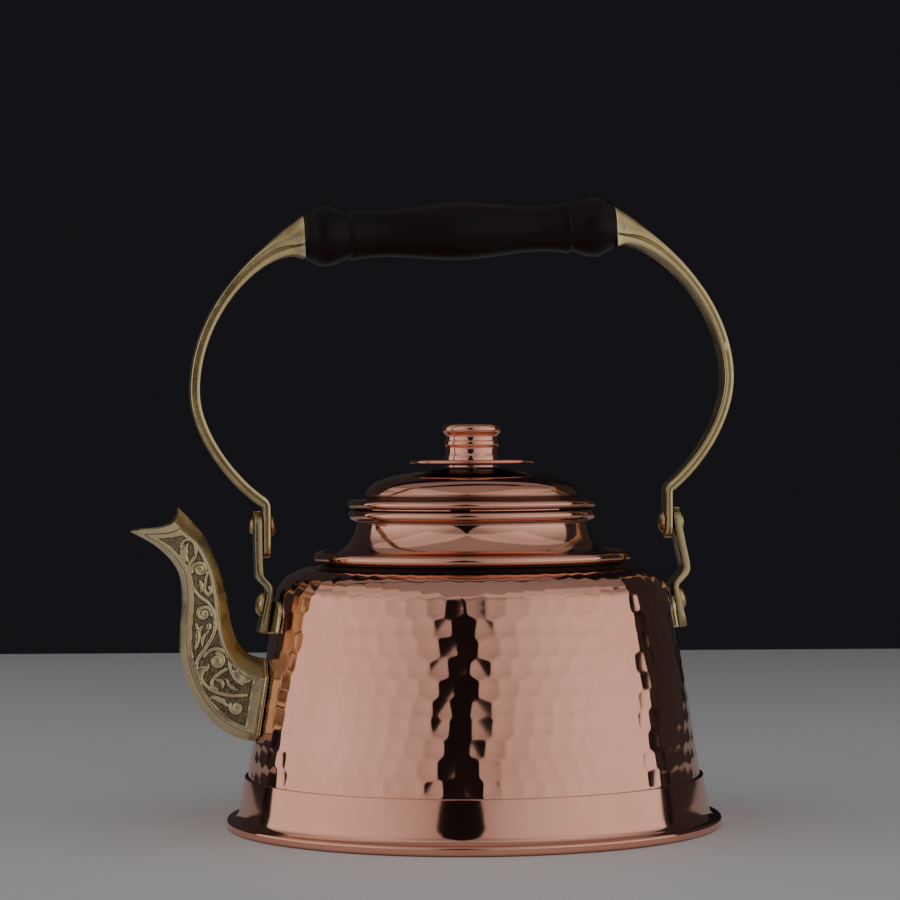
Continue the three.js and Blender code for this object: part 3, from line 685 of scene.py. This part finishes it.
# Front and back edges of the spout from the root to the mouth: share of the reach beyond the wall,
# and share of the mouth's height.
SPOUT_FRONT = [(-0.18, 0.273), (0.109, 0.278), (0.33, 0.32), (0.512, 0.409), (0.611, 0.523),
               (0.617, 0.621), (0.603, 0.714), (0.638, 0.807), (0.79, 0.877), (1, 0.927)]
SPOUT_BACK = [(-0.18, 0.519), (0.031, 0.533), (0.136, 0.559), (0.191, 0.592), (0.23, 0.641),
              (0.249, 0.691), (0.272, 0.745), (0.319, 0.815), (0.43, 0.91), (0.63, 1)]
SPOUT_HALF_WIDTHS = [13.5, 12.5, 10.6, 9.2, 8.4, 7.9, 7.6, 7.6, 8.2, 9.2]
SPOUT_WALL = 2.0
SPOUT_STATIONS = 400
SPOUT_ROOT_Z = 51
MOUTH_SAG = 4.4
PANEL_LOW, PANEL_HIGH = 0.10, 0.80  # shares of the section that the flat side covers
PANEL_STEPS = 66
EDGE_STEPS = 5
NARROW = 0.36  # half-width of the front and back edges, as a share of the full half-width
RELIEF = 0.55
ROOT_LINE = 2.1  # engraved line across the root, from the wall
FIELD_ROOT = 5.8  # the sunk field starts this far from the wall
LIP_LINE = 3.6  # engraved line below the mouth's edge
FIELD_TOP = 7.4


def spout_edges(t):
    root = wall_radius(SPOUT_ROOT_Z)
    lines = []
    for shares in (SPOUT_FRONT, SPOUT_BACK):
        points = [(-(root + out * (SPOUT_TIP - root)), up * SPOUT_TOP) for out, up in shares]
        lines.append(spline(points, t))
    half = spline([(w,) for w in SPOUT_HALF_WIDTHS], t)[:, 0]
    return lines[0], lines[1], half


def stroke(points, widths, steps=44):
    """A band of the scrollwork: a smooth path with a half-width at each of its steps."""
    t = np.linspace(0, 1, steps)
    path = spline(points, t)
    return np.column_stack([path, np.interp(t, np.linspace(0, 1, len(widths)), widths)])


def volute(centre, size, start, turns, width):
    """A spiral that winds inwards to a bud; angles in degrees, turns positive anticlockwise."""
    t = np.linspace(0, 1, 70)
    angle = math.radians(start) + t * turns * TAU
    radius = size * (1 - 0.82 * t**0.9)
    path = np.stack([centre[0] + radius * np.cos(angle), centre[1] + radius * np.sin(angle)], -1)
    return np.column_stack([path, width * (1 + 0.9 * smoothstep(0.8, 1.0, t))])


def leaf(root, tip, bend, width):
    """A pointed leaf from root to tip, bowed sideways."""
    root, tip = np.array(root, float), np.array(tip, float)
    side = np.array([-(tip - root)[1], (tip - root)[0]])
    middle = (root + tip) / 2 + side * bend
    before, after = (root + middle) / 2 + side * bend * 0.35, (middle + tip) / 2 + side * bend * 0.3
    return stroke([root, before, middle, after, tip], [0.3, width * 0.75, width, width * 0.7, 0.1])


def scrollwork():
    """The vine of the side panels: bands and leaves in the XZ plane, each point with its half-width."""
    stem = [(-115.3, 103.7), (-114.7, 101), (-113.8, 97.7), (-111.0, 93.7), (-107.5, 90.9), (-105.3, 86.9),
            (-104.8, 82.9), (-105.6, 78.4), (-108.1, 73.9), (-111.0, 69.9), (-112.3, 66.5), (-111.4, 62.5),
            (-108.6, 58.2), (-104.1, 55.4), (-98.3, 54.2), (-92.9, 54.4)]
    crook = [(-118.2, 113.2), (-116.9, 115.7), (-114.9, 116.2), (-113.1, 114.9), (-112.3, 112.3),
             (-112.5, 109.7), (-113.5, 108.0), (-114.8, 106.3), (-115.3, 103.7)]
    parts = [
        stroke(stem, [0.42, 0.5, 0.42], 170),
        stroke(crook, [0.3, 0.5, 0.42], 70),
        leaf((-115.5, 107.6), (-115.2, 114.6), 0.22, 1.25),
        leaf((-117.6, 110.6), (-116.2, 105.6), -0.12, 0.55),
        volute((-110.8, 104.3), 3.15, 200, -1.6, 0.42),
        stroke([(-107.7, 103.2), (-108.6, 98.8), (-108.9, 96.0), (-107.4, 94.2), (-106.4, 95.6),
                (-106.9, 97.0)], [0.3, 0.45, 0.5]),
        leaf((-110.9, 99.8), (-110.3, 95.2), 0.12, 0.6),
        volute((-109.4, 86.7), 3.2, -10, 1.55, 0.44),
        stroke([(-107.2, 81.9), (-107.3, 81.3)], [0.75, 0.8], 6),
        leaf((-112.4, 82.6), (-112.9, 72.4), 0.10, 0.75),
        leaf((-110.0, 81.6), (-111.9, 73.6), -0.10, 0.62),
        leaf((-107.6, 79.6), (-109.9, 73.6), -0.14, 0.5),
        volute((-104.2, 68.0), 3.0, 90, -1.5, 0.5),
        stroke([(-109.3, 69.8), (-107.2, 72.0), (-104.0, 72.7), (-100.9, 71.2), (-99.4, 68.0), (-98.9, 64.4),
                (-97.0, 60.6), (-94.4, 58.6)], [0.35, 0.5, 0.45, 0.35], 80),
        stroke([(-100.6, 64.6), (-103.4, 62.9), (-105.9, 60.6), (-106.2, 58.0), (-104.4, 56.6)],
               [0.4, 0.45, 0.35]),
        leaf((-98.0, 63.7), (-90.4, 61.7), -0.16, 2.0),
        leaf((-110.2, 60.2), (-108.6, 65.6), 0.30, 1.35),
        leaf((-110.9, 65.2), (-107.6, 66.6), -0.35, 0.7),
        leaf((-104.4, 60.4), (-102.2, 57.2), 0.30, 0.6),
        leaf((-100.4, 60.4), (-96.4, 56.4), -0.12, 0.55),
        volute((-96.7, 49.4), 2.6, 150, 1.35, 0.45),
        leaf((-106.6, 53.6), (-101.0, 50.4), 0.12, 0.75),
        leaf((-101.8, 52.8), (-99.6, 50.2), -0.2, 0.5),
    ]
    return np.vstack(parts)


def nearest_band(x, z):
    """Distance from each place to the edge of the nearest band; negative inside one."""
    scroll = scrollwork()
    nearest = np.full(x.size, 1e9)
    flat_x, flat_z = x.ravel()[:, None], z.ravel()[:, None]
    for start in range(0, len(scroll), 64):
        part = scroll[start:start + 64]
        gap = np.hypot(flat_x - part[:, 0], flat_z - part[:, 1]) - 1.25 * part[:, 2]
        nearest = np.minimum(nearest, gap.min(1))
    return nearest.reshape(x.shape)


def panel_relief(x, z, from_wall, front_in, back_in, to_mouth):
    """Height and patina of the side panel, from the distances in from its borders."""
    nearest = nearest_band(x, z)
    field = np.minimum.reduce([front_in - 2.6, back_in - 1.9, from_wall - FIELD_ROOT, to_mouth - FIELD_TOP])
    sunk = smoothstep(0.0, 0.3, field)
    raised = 1 - smoothstep(0.0, 0.32, nearest)
    ground = sunk * (1 - raised)
    crown = raised * sunk * np.clip(-nearest, 0, 0.6) * 0.22
    border = np.minimum(front_in, back_in)
    inside = smoothstep(ROOT_LINE, ROOT_LINE + 0.2, from_wall)
    inside *= smoothstep(LIP_LINE, LIP_LINE + 0.2, to_mouth)
    frame_line = np.exp(-((border - 0.35) / 0.22) ** 2) * inside
    root_line = np.exp(-((from_wall - ROOT_LINE) / 0.22) ** 2)
    lip_line = np.exp(-((to_mouth - LIP_LINE) / 0.24) ** 2) * smoothstep(0.2, 0.5, border)
    cut = np.maximum.reduce([frame_line, root_line, lip_line])
    stipple = np.random.default_rng(5).uniform(-0.07, 0.07, x.shape)
    height = -RELIEF * ground + crown - 0.24 * cut + stipple * ground
    outline = np.exp(-((nearest - 0.24) / 0.24) ** 2) + np.exp(-((field - 0.2) / 0.25) ** 2)
    shade = ground * (0.72 + 0.28 * np.clip(outline, 0, 1)) + cut
    return height, np.clip(shade, 0, 1)


def root_starts(shares, rise):
    """Where on its way each lengthwise line of the spout comes out of the wall."""
    t = np.linspace(0, 0.4, 400)
    front, back, half = spout_edges(t)
    path = front[None] + (back - front)[None] * shares[:, None, None]
    y = half[None] * np.where(rise <= 1, NARROW * rise, NARROW + (1 - NARROW) * (rise - 1))[:, None]
    outside = np.hypot(path[..., 0], y) > wall_radius(path[..., 1]) + GAP
    return t[np.argmax(outside, axis=1)]


def spout_half(name, node, side):
    """One cast half: an open channel whose outside carries the engraved panel."""
    seam = GAP / 2
    edge = np.linspace(0, 1, EDGE_STEPS + 1)[1:-1]
    panel = np.linspace(PANEL_LOW, PANEL_HIGH, PANEL_STEPS)
    shares = np.concatenate([np.zeros(3), edge * PANEL_LOW, panel, PANEL_HIGH + edge * (1 - PANEL_HIGH),
                             np.ones(3)])
    rise = np.concatenate([[0.0, 0.5, 0.94], 1 + edge, np.full(PANEL_STEPS, 2.0), 2 - edge, [0.94, 0.5, 0.0]])
    start = root_starts(shares, rise)
    t = start[None] + (1 - start[None]) * np.linspace(0, 1, SPOUT_STATIONS)[:, None]
    front, back, half = (v.reshape(*t.shape, -1) for v in spout_edges(t.ravel()))
    half = half[..., 0]
    across = back - front
    width = np.linalg.norm(across, axis=-1)
    onward = np.stack([-across[..., 1], across[..., 0]], -1) / width[..., None]
    middle = (front + back) / 2
    steps = np.linalg.norm(np.diff(middle, axis=0), axis=-1)
    to_mouth = np.concatenate([steps[::-1].cumsum(0)[::-1], np.zeros((1, len(shares)))])

    def skin(inset, extra):
        wide = half - inset
        narrow = NARROW * wide
        low = np.clip(rise, 0, 1) * (narrow - seam) + seam
        y = np.where(rise <= 1, low, narrow + (rise - 1) * (wide - narrow)) + extra
        share = inset / width + shares * (1 - 2 * inset / width)
        skew = 4.48 * share**1.67 * np.clip(1 - share, 0, 1) ** 0.75
        dip = -MOUTH_SAG * skew * (1 - smoothstep(0, 20, to_mouth))
        xz = front + across * share[..., None] + onward * dip[..., None]
        return np.stack([xz[..., 0], side * y, xz[..., 1]], -1)

    plain = skin(0.0, 0.0)
    front_in = (shares - PANEL_LOW) * width
    back_in = (PANEL_HIGH - shares) * width
    from_wall = np.hypot(plain[..., 0], plain[..., 1]) - wall_radius(plain[..., 2]) - GAP
    height, shade = panel_relief(plain[..., 0], plain[..., 2], from_wall, front_in, back_in, to_mouth)
    on_panel = rise >= 1.99
    flutes = 0.2 * (np.cos(from_wall * TAU / 0.95) - 1) * (1 - smoothstep(1.7, 2.0, from_wall)) * (rise > 0.9)
    outside = skin(0.0, height * on_panel + flutes)
    obj = channel(name, outside, skin(SPOUT_WALL, 0.0), BRASS_SPOUT, node, sharp=32)
    tone = shade * on_panel + np.clip(-flutes, 0, 1) * 1.6
    paint(obj, "ground", np.concatenate([tone, np.full(tone.shape, 0.55)], 1))


# ---------------------------------------------------------------- lugs

LUG_Z = PIVOT - 32
PLATE_THICK = 1.2
FOOT_THICK = 2.2
FOOT_REACH = 11.2
LUG_LIFT = PLATE_THICK + GAP * 2 + 0.2


def lug_place(side, off_wall, along_wall):
    r = wall_radius(LUG_Z) + off_wall * math.cos(WALL_SLOPE) - along_wall * math.sin(WALL_SLOPE)
    z = LUG_Z + off_wall * math.sin(WALL_SLOPE) + along_wall * math.cos(WALL_SLOPE)
    return side * r, z


def lug_matrix(side):
    """Places a shape turned about Z on the lug rivet's axis, its +Z outwards."""
    x, z = lug_place(side, 0, 0)
    return Matrix.Translation((x, 0, z)) @ Matrix.Rotation(side * (math.pi / 2 - WALL_SLOPE), 4, "Y")


def rounded_section(thickness, width):
    """A rectangle with chamfered corners, as offsets through the thickness and across the width."""
    d, w = thickness / 2, width / 2
    b = min(0.55, d * 0.6, w * 0.6)
    c = b * 0.3
    corner = [(d, w - b), (d - c, w - c), (d - b, w)]
    half = corner + [(-a, y) for a, y in reversed(corner)]
    return half + [(a, -y) for a, y in reversed(half)]


def pivot_shift(side):
    """How far a pivot stands outwards from its even place: this kettle's bow is bent a little to the left."""
    return -2.3 if side > 0 else 0.7


def strap_rings(side):
    """The strap, upright on the left and leaning in on the right, with an S-bend above its foot."""
    top = PIVOT
    outer = STRAP_INSIDE + STRAP_THICK / 2
    shift = pivot_shift(side)
    low = outer + (1.0 if side > 0 else 0.4)
    foot_mid = LUG_LIFT + FOOT_THICK / 2
    foot_run = [(0.4, 6.2), (0.1, 3.4), (0.3, -4), (0.6, -FOOT_REACH)]
    path = [(outer + shift, top + 6), (outer + shift, top), (outer + shift * 0.5 + 0.3, top - 8),
            *about(low, LUG_Z, [(0, 14.6), (-0.7, 11.4), (-3.2, 8.6)]),
            *(lug_place(1, foot_mid + lift, along) for lift, along in foot_run)]
    t = np.linspace(0, 1, 90)
    line = spline(path, t)
    rings = []
    for (x, z), (tx, tz) in zip(line, directions(line)):
        normal = np.array([-tz, tx])
        foot = smoothstep(LUG_Z + 16, LUG_Z + 6, z)
        thick = STRAP_THICK + (FOOT_THICK + 0.1 - STRAP_THICK) * foot
        thick += 1.1 * smoothstep(LUG_Z + 5, LUG_Z - 11, z)
        half = STRAP_WIDTH / 2 + 1.9 * foot
        if z > top:
            half = math.sqrt(max(half**2 - (z - top) ** 2, 0.6))
        round_z = LUG_Z - FOOT_REACH + 5
        if z < round_z:
            half -= 3.2 * (1 - math.sqrt(max(1 - ((round_z - z) / 5.2) ** 2, 0)))
        section = rounded_section(thick, 2 * half)
        rings.append([(side * (x + normal[0] * d), y, z + normal[1] * d) for d, y in section])
    return rings


def lug_strap(name, node, side):
    return sweep(name, strap_rings(side), BRASS_STRAP_SHADED, node)


def lug_plate(name, node, side):
    """A saddle plate that follows the wall, with rounded top corners."""
    low, high = span(node)
    half = 17.0
    cols, rows = 61, 41
    y = np.linspace(-half, half, cols)
    corner = 7.0
    fall = np.clip(np.abs(y) - (half - corner), 0, None)
    top = high[2] - (corner - np.sqrt(np.maximum(corner**2 - fall**2, 0))) * 0.8
    bottom = low[2] + 1.2 * (1 - np.cos(np.clip(np.abs(y) / half, 0, 1) * math.pi)) / 2
    share = np.linspace(0, 1, rows)[:, None]
    z = bottom + (top - bottom) * share
    rim = np.minimum.reduce([z - bottom, top - z, np.broadcast_to(half - np.abs(y), z.shape)])
    round_off = 0.45 * (1 - np.sqrt(np.clip(1 - (1 - np.clip(rim / 0.6, 0, 1)) ** 2, 0, 1)))
    skins = []
    for lift in (GAP + PLATE_THICK - round_off, np.full_like(z, GAP)):
        radius = wall_radius(z) + lift
        skins.append(np.stack([side * np.sqrt(radius**2 - y**2), np.broadcast_to(y, z.shape), z], -1))
    return channel(name, *skins, BRASS, node, sharp=40)


def lug_rivet(name, node, side):
    seat = PLATE_THICK + GAP * 3 + 0.6 + FOOT_THICK
    tail = -(SHEET + GAP * 2 + 1.5)
    dome = about(0, seat, [(4.7, 0.15), (4.62, 0.9), (4.1, 1.7), (3.0, 2.45), (1.6, 2.9), (0, 3.0)])
    profile = [*about(0, tail, [(0, -1.6), (1.6, -1.5), (2.8, -1.1), (3.5, -0.5), (3.6, 0), (2.2, 0)]),
               (2.2, seat), (4.5, seat), *smooth(dome, 5)]
    return lathe(name, profile, BRASS, node, 64, lug_matrix(side))


def pivot_rivet(name, node, side):
    head = TAB_INSIDE - GAP + pivot_shift(side)
    tail = STRAP_INSIDE + STRAP_THICK + GAP + pivot_shift(side)
    profile = [
        *smooth(about(0, head, [(0, -2.0), (1.6, -1.88), (3.0, -1.4), (4.0, -0.6), (4.3, -0.05)]), 5),
        (2.6, head), (2.6, tail), (3.0, tail),
        *smooth(about(0, tail, [(3.1, 0.15), (2.9, 0.8), (2.0, 1.3), (0, 1.5)]), 5),
    ]
    place = Matrix.Translation((0, 0, PIVOT)) @ Matrix.Rotation(side * math.pi / 2, 4, "Y")
    return lathe(name, profile, BRASS, node, 64, place)


# ---------------------------------------------------------------- handle

ARM_END = GRIP_LENGTH / 2 + GAP
TAB_DROP = 9.5
ELBOW_LEG = 1.5  # length of the bend on each side of its corner
BOW_WIDEST = 56.4  # height of the bow's widest place over the pivots
# The two arms are bent by hand and differ a little: how far each stands out from the even reach, how far its
# shoulder runs on beyond the grip, how steeply it comes down to the elbow, and the elbow's height.
BENDS = {
    1: {"out": -1.4, "shoulder": 21.6, "foot": 11.6, "elbow": 10.9},
    -1: {"out": 0.2, "shoulder": 24.4, "foot": 9.6, "elbow": 13.0},
}
TAB_MIDDLE = TAB_INSIDE + TAB_THICK / 2


def bezier(points, t):
    a, b, c, d = (np.array(p, float) for p in points)
    t = t[:, None]
    return a * (1 - t) ** 3 + 3 * b * t * (1 - t) ** 2 + 3 * c * t**2 * (1 - t) + d * t**3


def bow_midline(side, count, tab):
    """An arm's midline from grip to elbow, evenly stepped, with z counted from the pivots."""
    bend = BENDS[side]
    reach, widest = BOW_REACH + bend["out"], BOW_WIDEST
    t = np.linspace(0, 1, 200)
    upper = bezier([(ARM_END, GRIP_RISE - 0.3), (ARM_END + bend["shoulder"], GRIP_RISE - 7.7),
                    (reach, widest + 28.3), (reach, widest)], t)
    lower = bezier([(reach, widest), (reach, widest - 14.7),
                    (TAB_MIDDLE + 14.5, bend["elbow"] + bend["foot"]), (tab + 0.9, bend["elbow"])], t)
    path = np.vstack([upper, lower[1:]])
    return points_at(path, np.linspace(0, travelled(path)[-1], count))


def turned(points, angle):
    c, s = math.cos(angle), math.sin(angle)
    return points @ np.array([[c, s], [-s, c]])


def arm_section(thickness, width):
    """Rounded towards the outside of the bow, with a groove along each side face."""
    d, w = thickness / 2, width / 2
    deep = float(smoothstep(2.2, 6.5, d))
    groove_half = 0.28 * d * (1 - deep) + 0.55 * deep
    groove_top = (-0.02 - 0.40 * deep) * d + groove_half
    groove_low = groove_top - 2 * groove_half
    cut = min(0.2 + 0.25 * deep, 0.35 * w)
    power = 0.34 + 0.42 * deep
    angles = np.radians(np.linspace(0, 90, 12))
    outer = [(groove_top + (d - groove_top) * math.cos(a) ** power, w * math.sin(a) ** power)
             for a in angles[:-1]]
    rim = min(0.7, (groove_low + d) * 0.8)
    half = [
        *outer, (groove_top, w), (groove_top - 0.3 * groove_half, w - cut),
        (groove_low + 0.3 * groove_half, w - cut), (groove_low, w),
        *about(-d, w, [(rim, 0), (0.4 * rim, -0.15), (0.1 * rim, -0.45), (0, -0.95)]), (-d, 0.0),
    ]
    other = [(a, -y) for a, y in reversed(half[1:-1])]
    return half + other


def arm_stations(side):
    """Places down one arm: the point, the direction out of the bow, the thickness and the width."""
    count = 120
    tab = TAB_MIDDLE + pivot_shift(side)
    path = bow_midline(side, count, tab)
    lean = side * LEAN
    path, tangent = turned(path, lean), turned(directions(path), lean)
    level = np.array([math.cos(lean), math.sin(lean)])
    share = (tab - path[-1][0]) / tangent[-1][0]
    corner = path[-1] + tangent[-1] * share
    stations = []
    for i in range(count):
        t = i / (count - 1)
        if np.linalg.norm(path[i] - corner) < ELBOW_LEG:
            break
        square = smoothstep(0.0, 0.06, t)
        direction = level * (1 - square) + tangent[i] * square
        direction /= np.linalg.norm(direction)
        thick = ARM_THICK + 13.4 * math.exp(-t / 0.08)
        width = ARM_WIDTH + 4 * (1 - t) ** 2 - (ARM_WIDTH - TAB_WIDTH) * smoothstep(0.75, 0.98, t)
        stations.append((path[i], np.array([-direction[1], direction[0]]), thick, width))
    begin, finish = stations[-1][0], corner - np.array([0, ELBOW_LEG])
    for t in np.linspace(0, 1, 14)[1:]:
        place = begin * (1 - t) ** 2 + 2 * corner * t * (1 - t) + finish * t**2
        direction = (corner - begin) * (1 - t) + (finish - corner) * t
        direction /= np.linalg.norm(direction)
        thick = ARM_THICK + (TAB_THICK - ARM_THICK) * min(1.5 * t, 1)
        stations.append((place, np.array([-direction[1], direction[0]]), thick, TAB_WIDTH))
    half = TAB_WIDTH / 2
    shift = side * tab * math.sin(LEAN)
    outwards = np.array([1.0, 0.0])
    for degrees in np.linspace(0, 84, 20):
        angle = math.radians(degrees)
        z = shift - TAB_DROP + half * (1 - math.sin(angle))
        stations.append((np.array([tab, z]), outwards, TAB_THICK, TAB_WIDTH * math.cos(angle)))
    return stations


def arm_rings(side):
    return [[(side * (x + up[0] * d), y, PIVOT + z + up[1] * d) for d, y in arm_section(thick, wide)]
            for (x, z), up, thick, wide in arm_stations(side)]


def arm(name, node, side):
    return sweep(name, arm_rings(side), BRASS, node, sharp=28)


def grip_matrix():
    """Places a shape turned about Z along the grip's leaning axis."""
    lean = Matrix.Translation((0, 0, PIVOT)) @ Matrix.Rotation(-LEAN, 4, "Y")
    return lean @ Matrix.Translation((0, 0, GRIP_RISE)) @ Matrix.Rotation(math.pi / 2, 4, "Y")


def grip():
    end = GRIP_LENGTH / 2
    r = GRIP_RADIUS
    ends = [(r - 4.6, end), (r - 3.5, end)]
    bulb = smooth(about(r, end, [(-2.9, -0.5), (-2.2, -1.9), (-1.7, -3.0), (-0.9, -4.3), (-0.25, -6.0),
                                 (0, -8.4), (-0.35, -11.2), (-1.3, -14.0), (-2.2, -16.2), (-2.55, -17.0)]), 7)
    bead = smooth(about(r, end, [(-2.75, -17.5), (-2.55, -18.0), (-1.95, -18.7), (-1.8, -19.6),
                                 (-2.0, -20.5)]), 5)
    waist = smooth([*about(r, end, [(-2.3, -21.5), (-2.7, -26), (-3.0, -32), (-2.7, -38), (-2.0, -45),
                                    (-1.2, -53), (-0.75, -58)]), (r - 0.6, 0)], 7)
    half = [*ends, *bulb, *bead, *waist]
    lower = [(a, -x) for a, x in reversed(half[:-1])]
    bore = [(3.3, -end), (3.3, end)]
    return lathe("grip_turned", [*half, *lower, *bore], WOOD, "grip", 144, grip_matrix())


def tie_rod():
    """The rod through the grip, ending inside the arms' thick ends."""
    end = ARM_END + 4.2
    profile = [(0, -end), (2.2, -end), (2.8, -end + 0.6), (2.8, end - 0.6), (2.2, end), (0, end)]
    return lathe("tie_rod", profile, STEEL, "grip_rod", 48, grip_matrix())


def arm_pin(name, node, side):
    """The cross pin near the grip, flush with both side faces of its arm."""
    (x, z), _, _, width = arm_stations(side)[3]
    reach = width / 2 + 0.05
    profile = [(0, -reach), (0.6, -reach), (0.9, -reach + 0.2), (0.9, reach - 0.2), (0.6, reach), (0, reach)]
    place = Matrix.Translation((side * x, 0, PIVOT + z)) @ Matrix.Rotation(math.pi / 2, 4, "X")
    return lathe(name, profile, STEEL, node, 32, place)


# ---------------------------------------------------------------- stage

CAMERA_AZIMUTH = math.radians(-9)
CAMERA_DISTANCE = 1.214
CAMERA_HEIGHT = 0.154
CAMERA_LENS = 119.96
CAMERA_ROLL = math.radians(-0.35)
CAMERA_SHIFT = (-0.0244, -0.0084)
FLOOR_PALE = (0.80, 0.79, 0.79)


def camera():
    data = bpy.data.cameras.new("camera")
    data.lens = CAMERA_LENS
    data.sensor_width = 36
    data.shift_x, data.shift_y = CAMERA_SHIFT
    data.dof.use_dof = False
    obj = bpy.data.objects.new("camera", data)
    bpy.context.scene.collection.objects.link(obj)
    place = Matrix.Rotation(CAMERA_AZIMUTH, 4, "Z") @ Matrix.Translation((0, -CAMERA_DISTANCE, CAMERA_HEIGHT))
    obj.matrix_world = place @ Matrix.Rotation(math.pi / 2, 4, "X") @ Matrix.Rotation(CAMERA_ROLL, 4, "Z")
    bpy.context.scene.camera = obj


def tabletop():
    """A pale tabletop that ends some way behind the kettle."""
    material, tree, shader = new_material("floor_pale")
    darker = tuple(c * 0.94 for c in FLOOR_PALE)
    tone = ramp(tree, noise(tree, 3, 4), [(0.3, darker), (0.7, FLOOR_PALE)])
    tree.links.new(tone, shader.inputs["Base Color"])
    shader.inputs["Roughness"].default_value = 0.6
    top = bpy.data.meshes.new("floor")
    top.from_pydata([(-1.6, -1.6, 0), (1.6, -1.6, 0), (1.6, 1.0, 0), (-1.6, 1.0, 0)], [], [(0, 1, 2, 3)])
    top.materials.append(material)
    floor = bpy.data.objects.new("floor", top)
    floor.location.z = -0.0002
    floor.rotation_euler.z = CAMERA_AZIMUTH
    bpy.context.scene.collection.objects.link(floor)


def soften(data, edge, core):
    """Makes an area light fall off up, down and sideways from its core, as cloth over a lamp does."""
    data.use_nodes = True
    tree = data.node_tree
    geometry = tree.nodes.new("ShaderNodeNewGeometry")
    mapping = tree.nodes.new("ShaderNodeMapping")
    mapping.inputs["Location"].default_value = (-core, -0.62, 0)
    mapping.inputs["Scale"].default_value = (1, 2.08, 0)
    gradient = tree.nodes.new("ShaderNodeTexGradient")
    gradient.gradient_type = "SPHERICAL"
    tree.links.new(geometry.outputs["Parametric"], mapping.inputs["Vector"])
    tree.links.new(mapping.outputs["Vector"], gradient.inputs["Vector"])
    level = remap(tree, gradient.outputs["Fac"], 0.0, 0.8, edge, 1.0)
    tree.links.new(level, tree.nodes["Emission"].inputs["Strength"])


def softbox(name, azimuth, elevation, distance, size, power, edge, core=0.5):
    """A rectangular light that faces the kettle's middle; azimuth 0 is on the -Y side."""
    data = bpy.data.lights.new(name, "AREA")
    data.shape = "RECTANGLE"
    data.size, data.size_y = size
    data.energy = power
    soften(data, edge, core)
    obj = bpy.data.objects.new(name, data)
    a, e = math.radians(azimuth), math.radians(elevation)
    target = Vector((0, 0, 0.10))
    place = target + distance * Vector((math.sin(a) * math.cos(e), -math.cos(a) * math.cos(e), math.sin(e)))
    obj.location = place
    obj.rotation_euler = (target - place).to_track_quat("-Z", "Y").to_euler()
    obj.visible_camera = False
    bpy.context.scene.collection.objects.link(obj)


def lights():
    softbox("softbox_left", -76, 22, 1.0, (2.40, 1.50), 9.8, 0.30, 0.25)
    softbox("softbox_right", 45, 22, 1.0, (2.34, 1.50), 9.6, 0.30, 0.75)
    softbox("softbox_top", -9, 84, 1.05, (2.80, 2.30), 5.6, 0.8)
    softbox("softbox_back_right", 122, 14, 1.2, (1.00, 1.10), 0.09, 0.8)
    softbox("softbox_back_left", -160, 14, 1.3, (1.40, 1.10), 0.12, 0.8)
    world = bpy.data.worlds.new("studio")
    world.use_nodes = True
    world.node_tree.nodes["Background"].inputs["Color"].default_value = (0.010, 0.0098, 0.0122, 1)
    world.node_tree.nodes["Background"].inputs["Strength"].default_value = 1.0
    bpy.context.scene.world = world


# ---------------------------------------------------------------- assembly

camera()
dress_frame()
body_shell()
foot_band()
bottom_plate()
neck_collar()
lid_shell()
knob_foot()
knob_disc()
knob()
spout_half("spout_cast_near", "spout_half_near", -1)
spout_half("spout_cast_far", "spout_half_far", 1)
for label, side in (("left", -1), ("right", 1)):
    lug_plate("saddle_plate_" + label, "lug_plate_" + label, side)
    lug_strap("strap_" + label, "lug_strap_" + label, side)
    lug_rivet("dome_rivet_" + label, "lug_rivet_" + label, side)
    pivot_rivet("pivot_" + label, "pivot_rivet_" + label, side)
    arm("bow_arm_" + label, "arm_" + label, side)
    arm_pin("cross_pin_" + label, "arm_pin_" + label, side)
grip()
tie_rod()
tabletop()
lights()
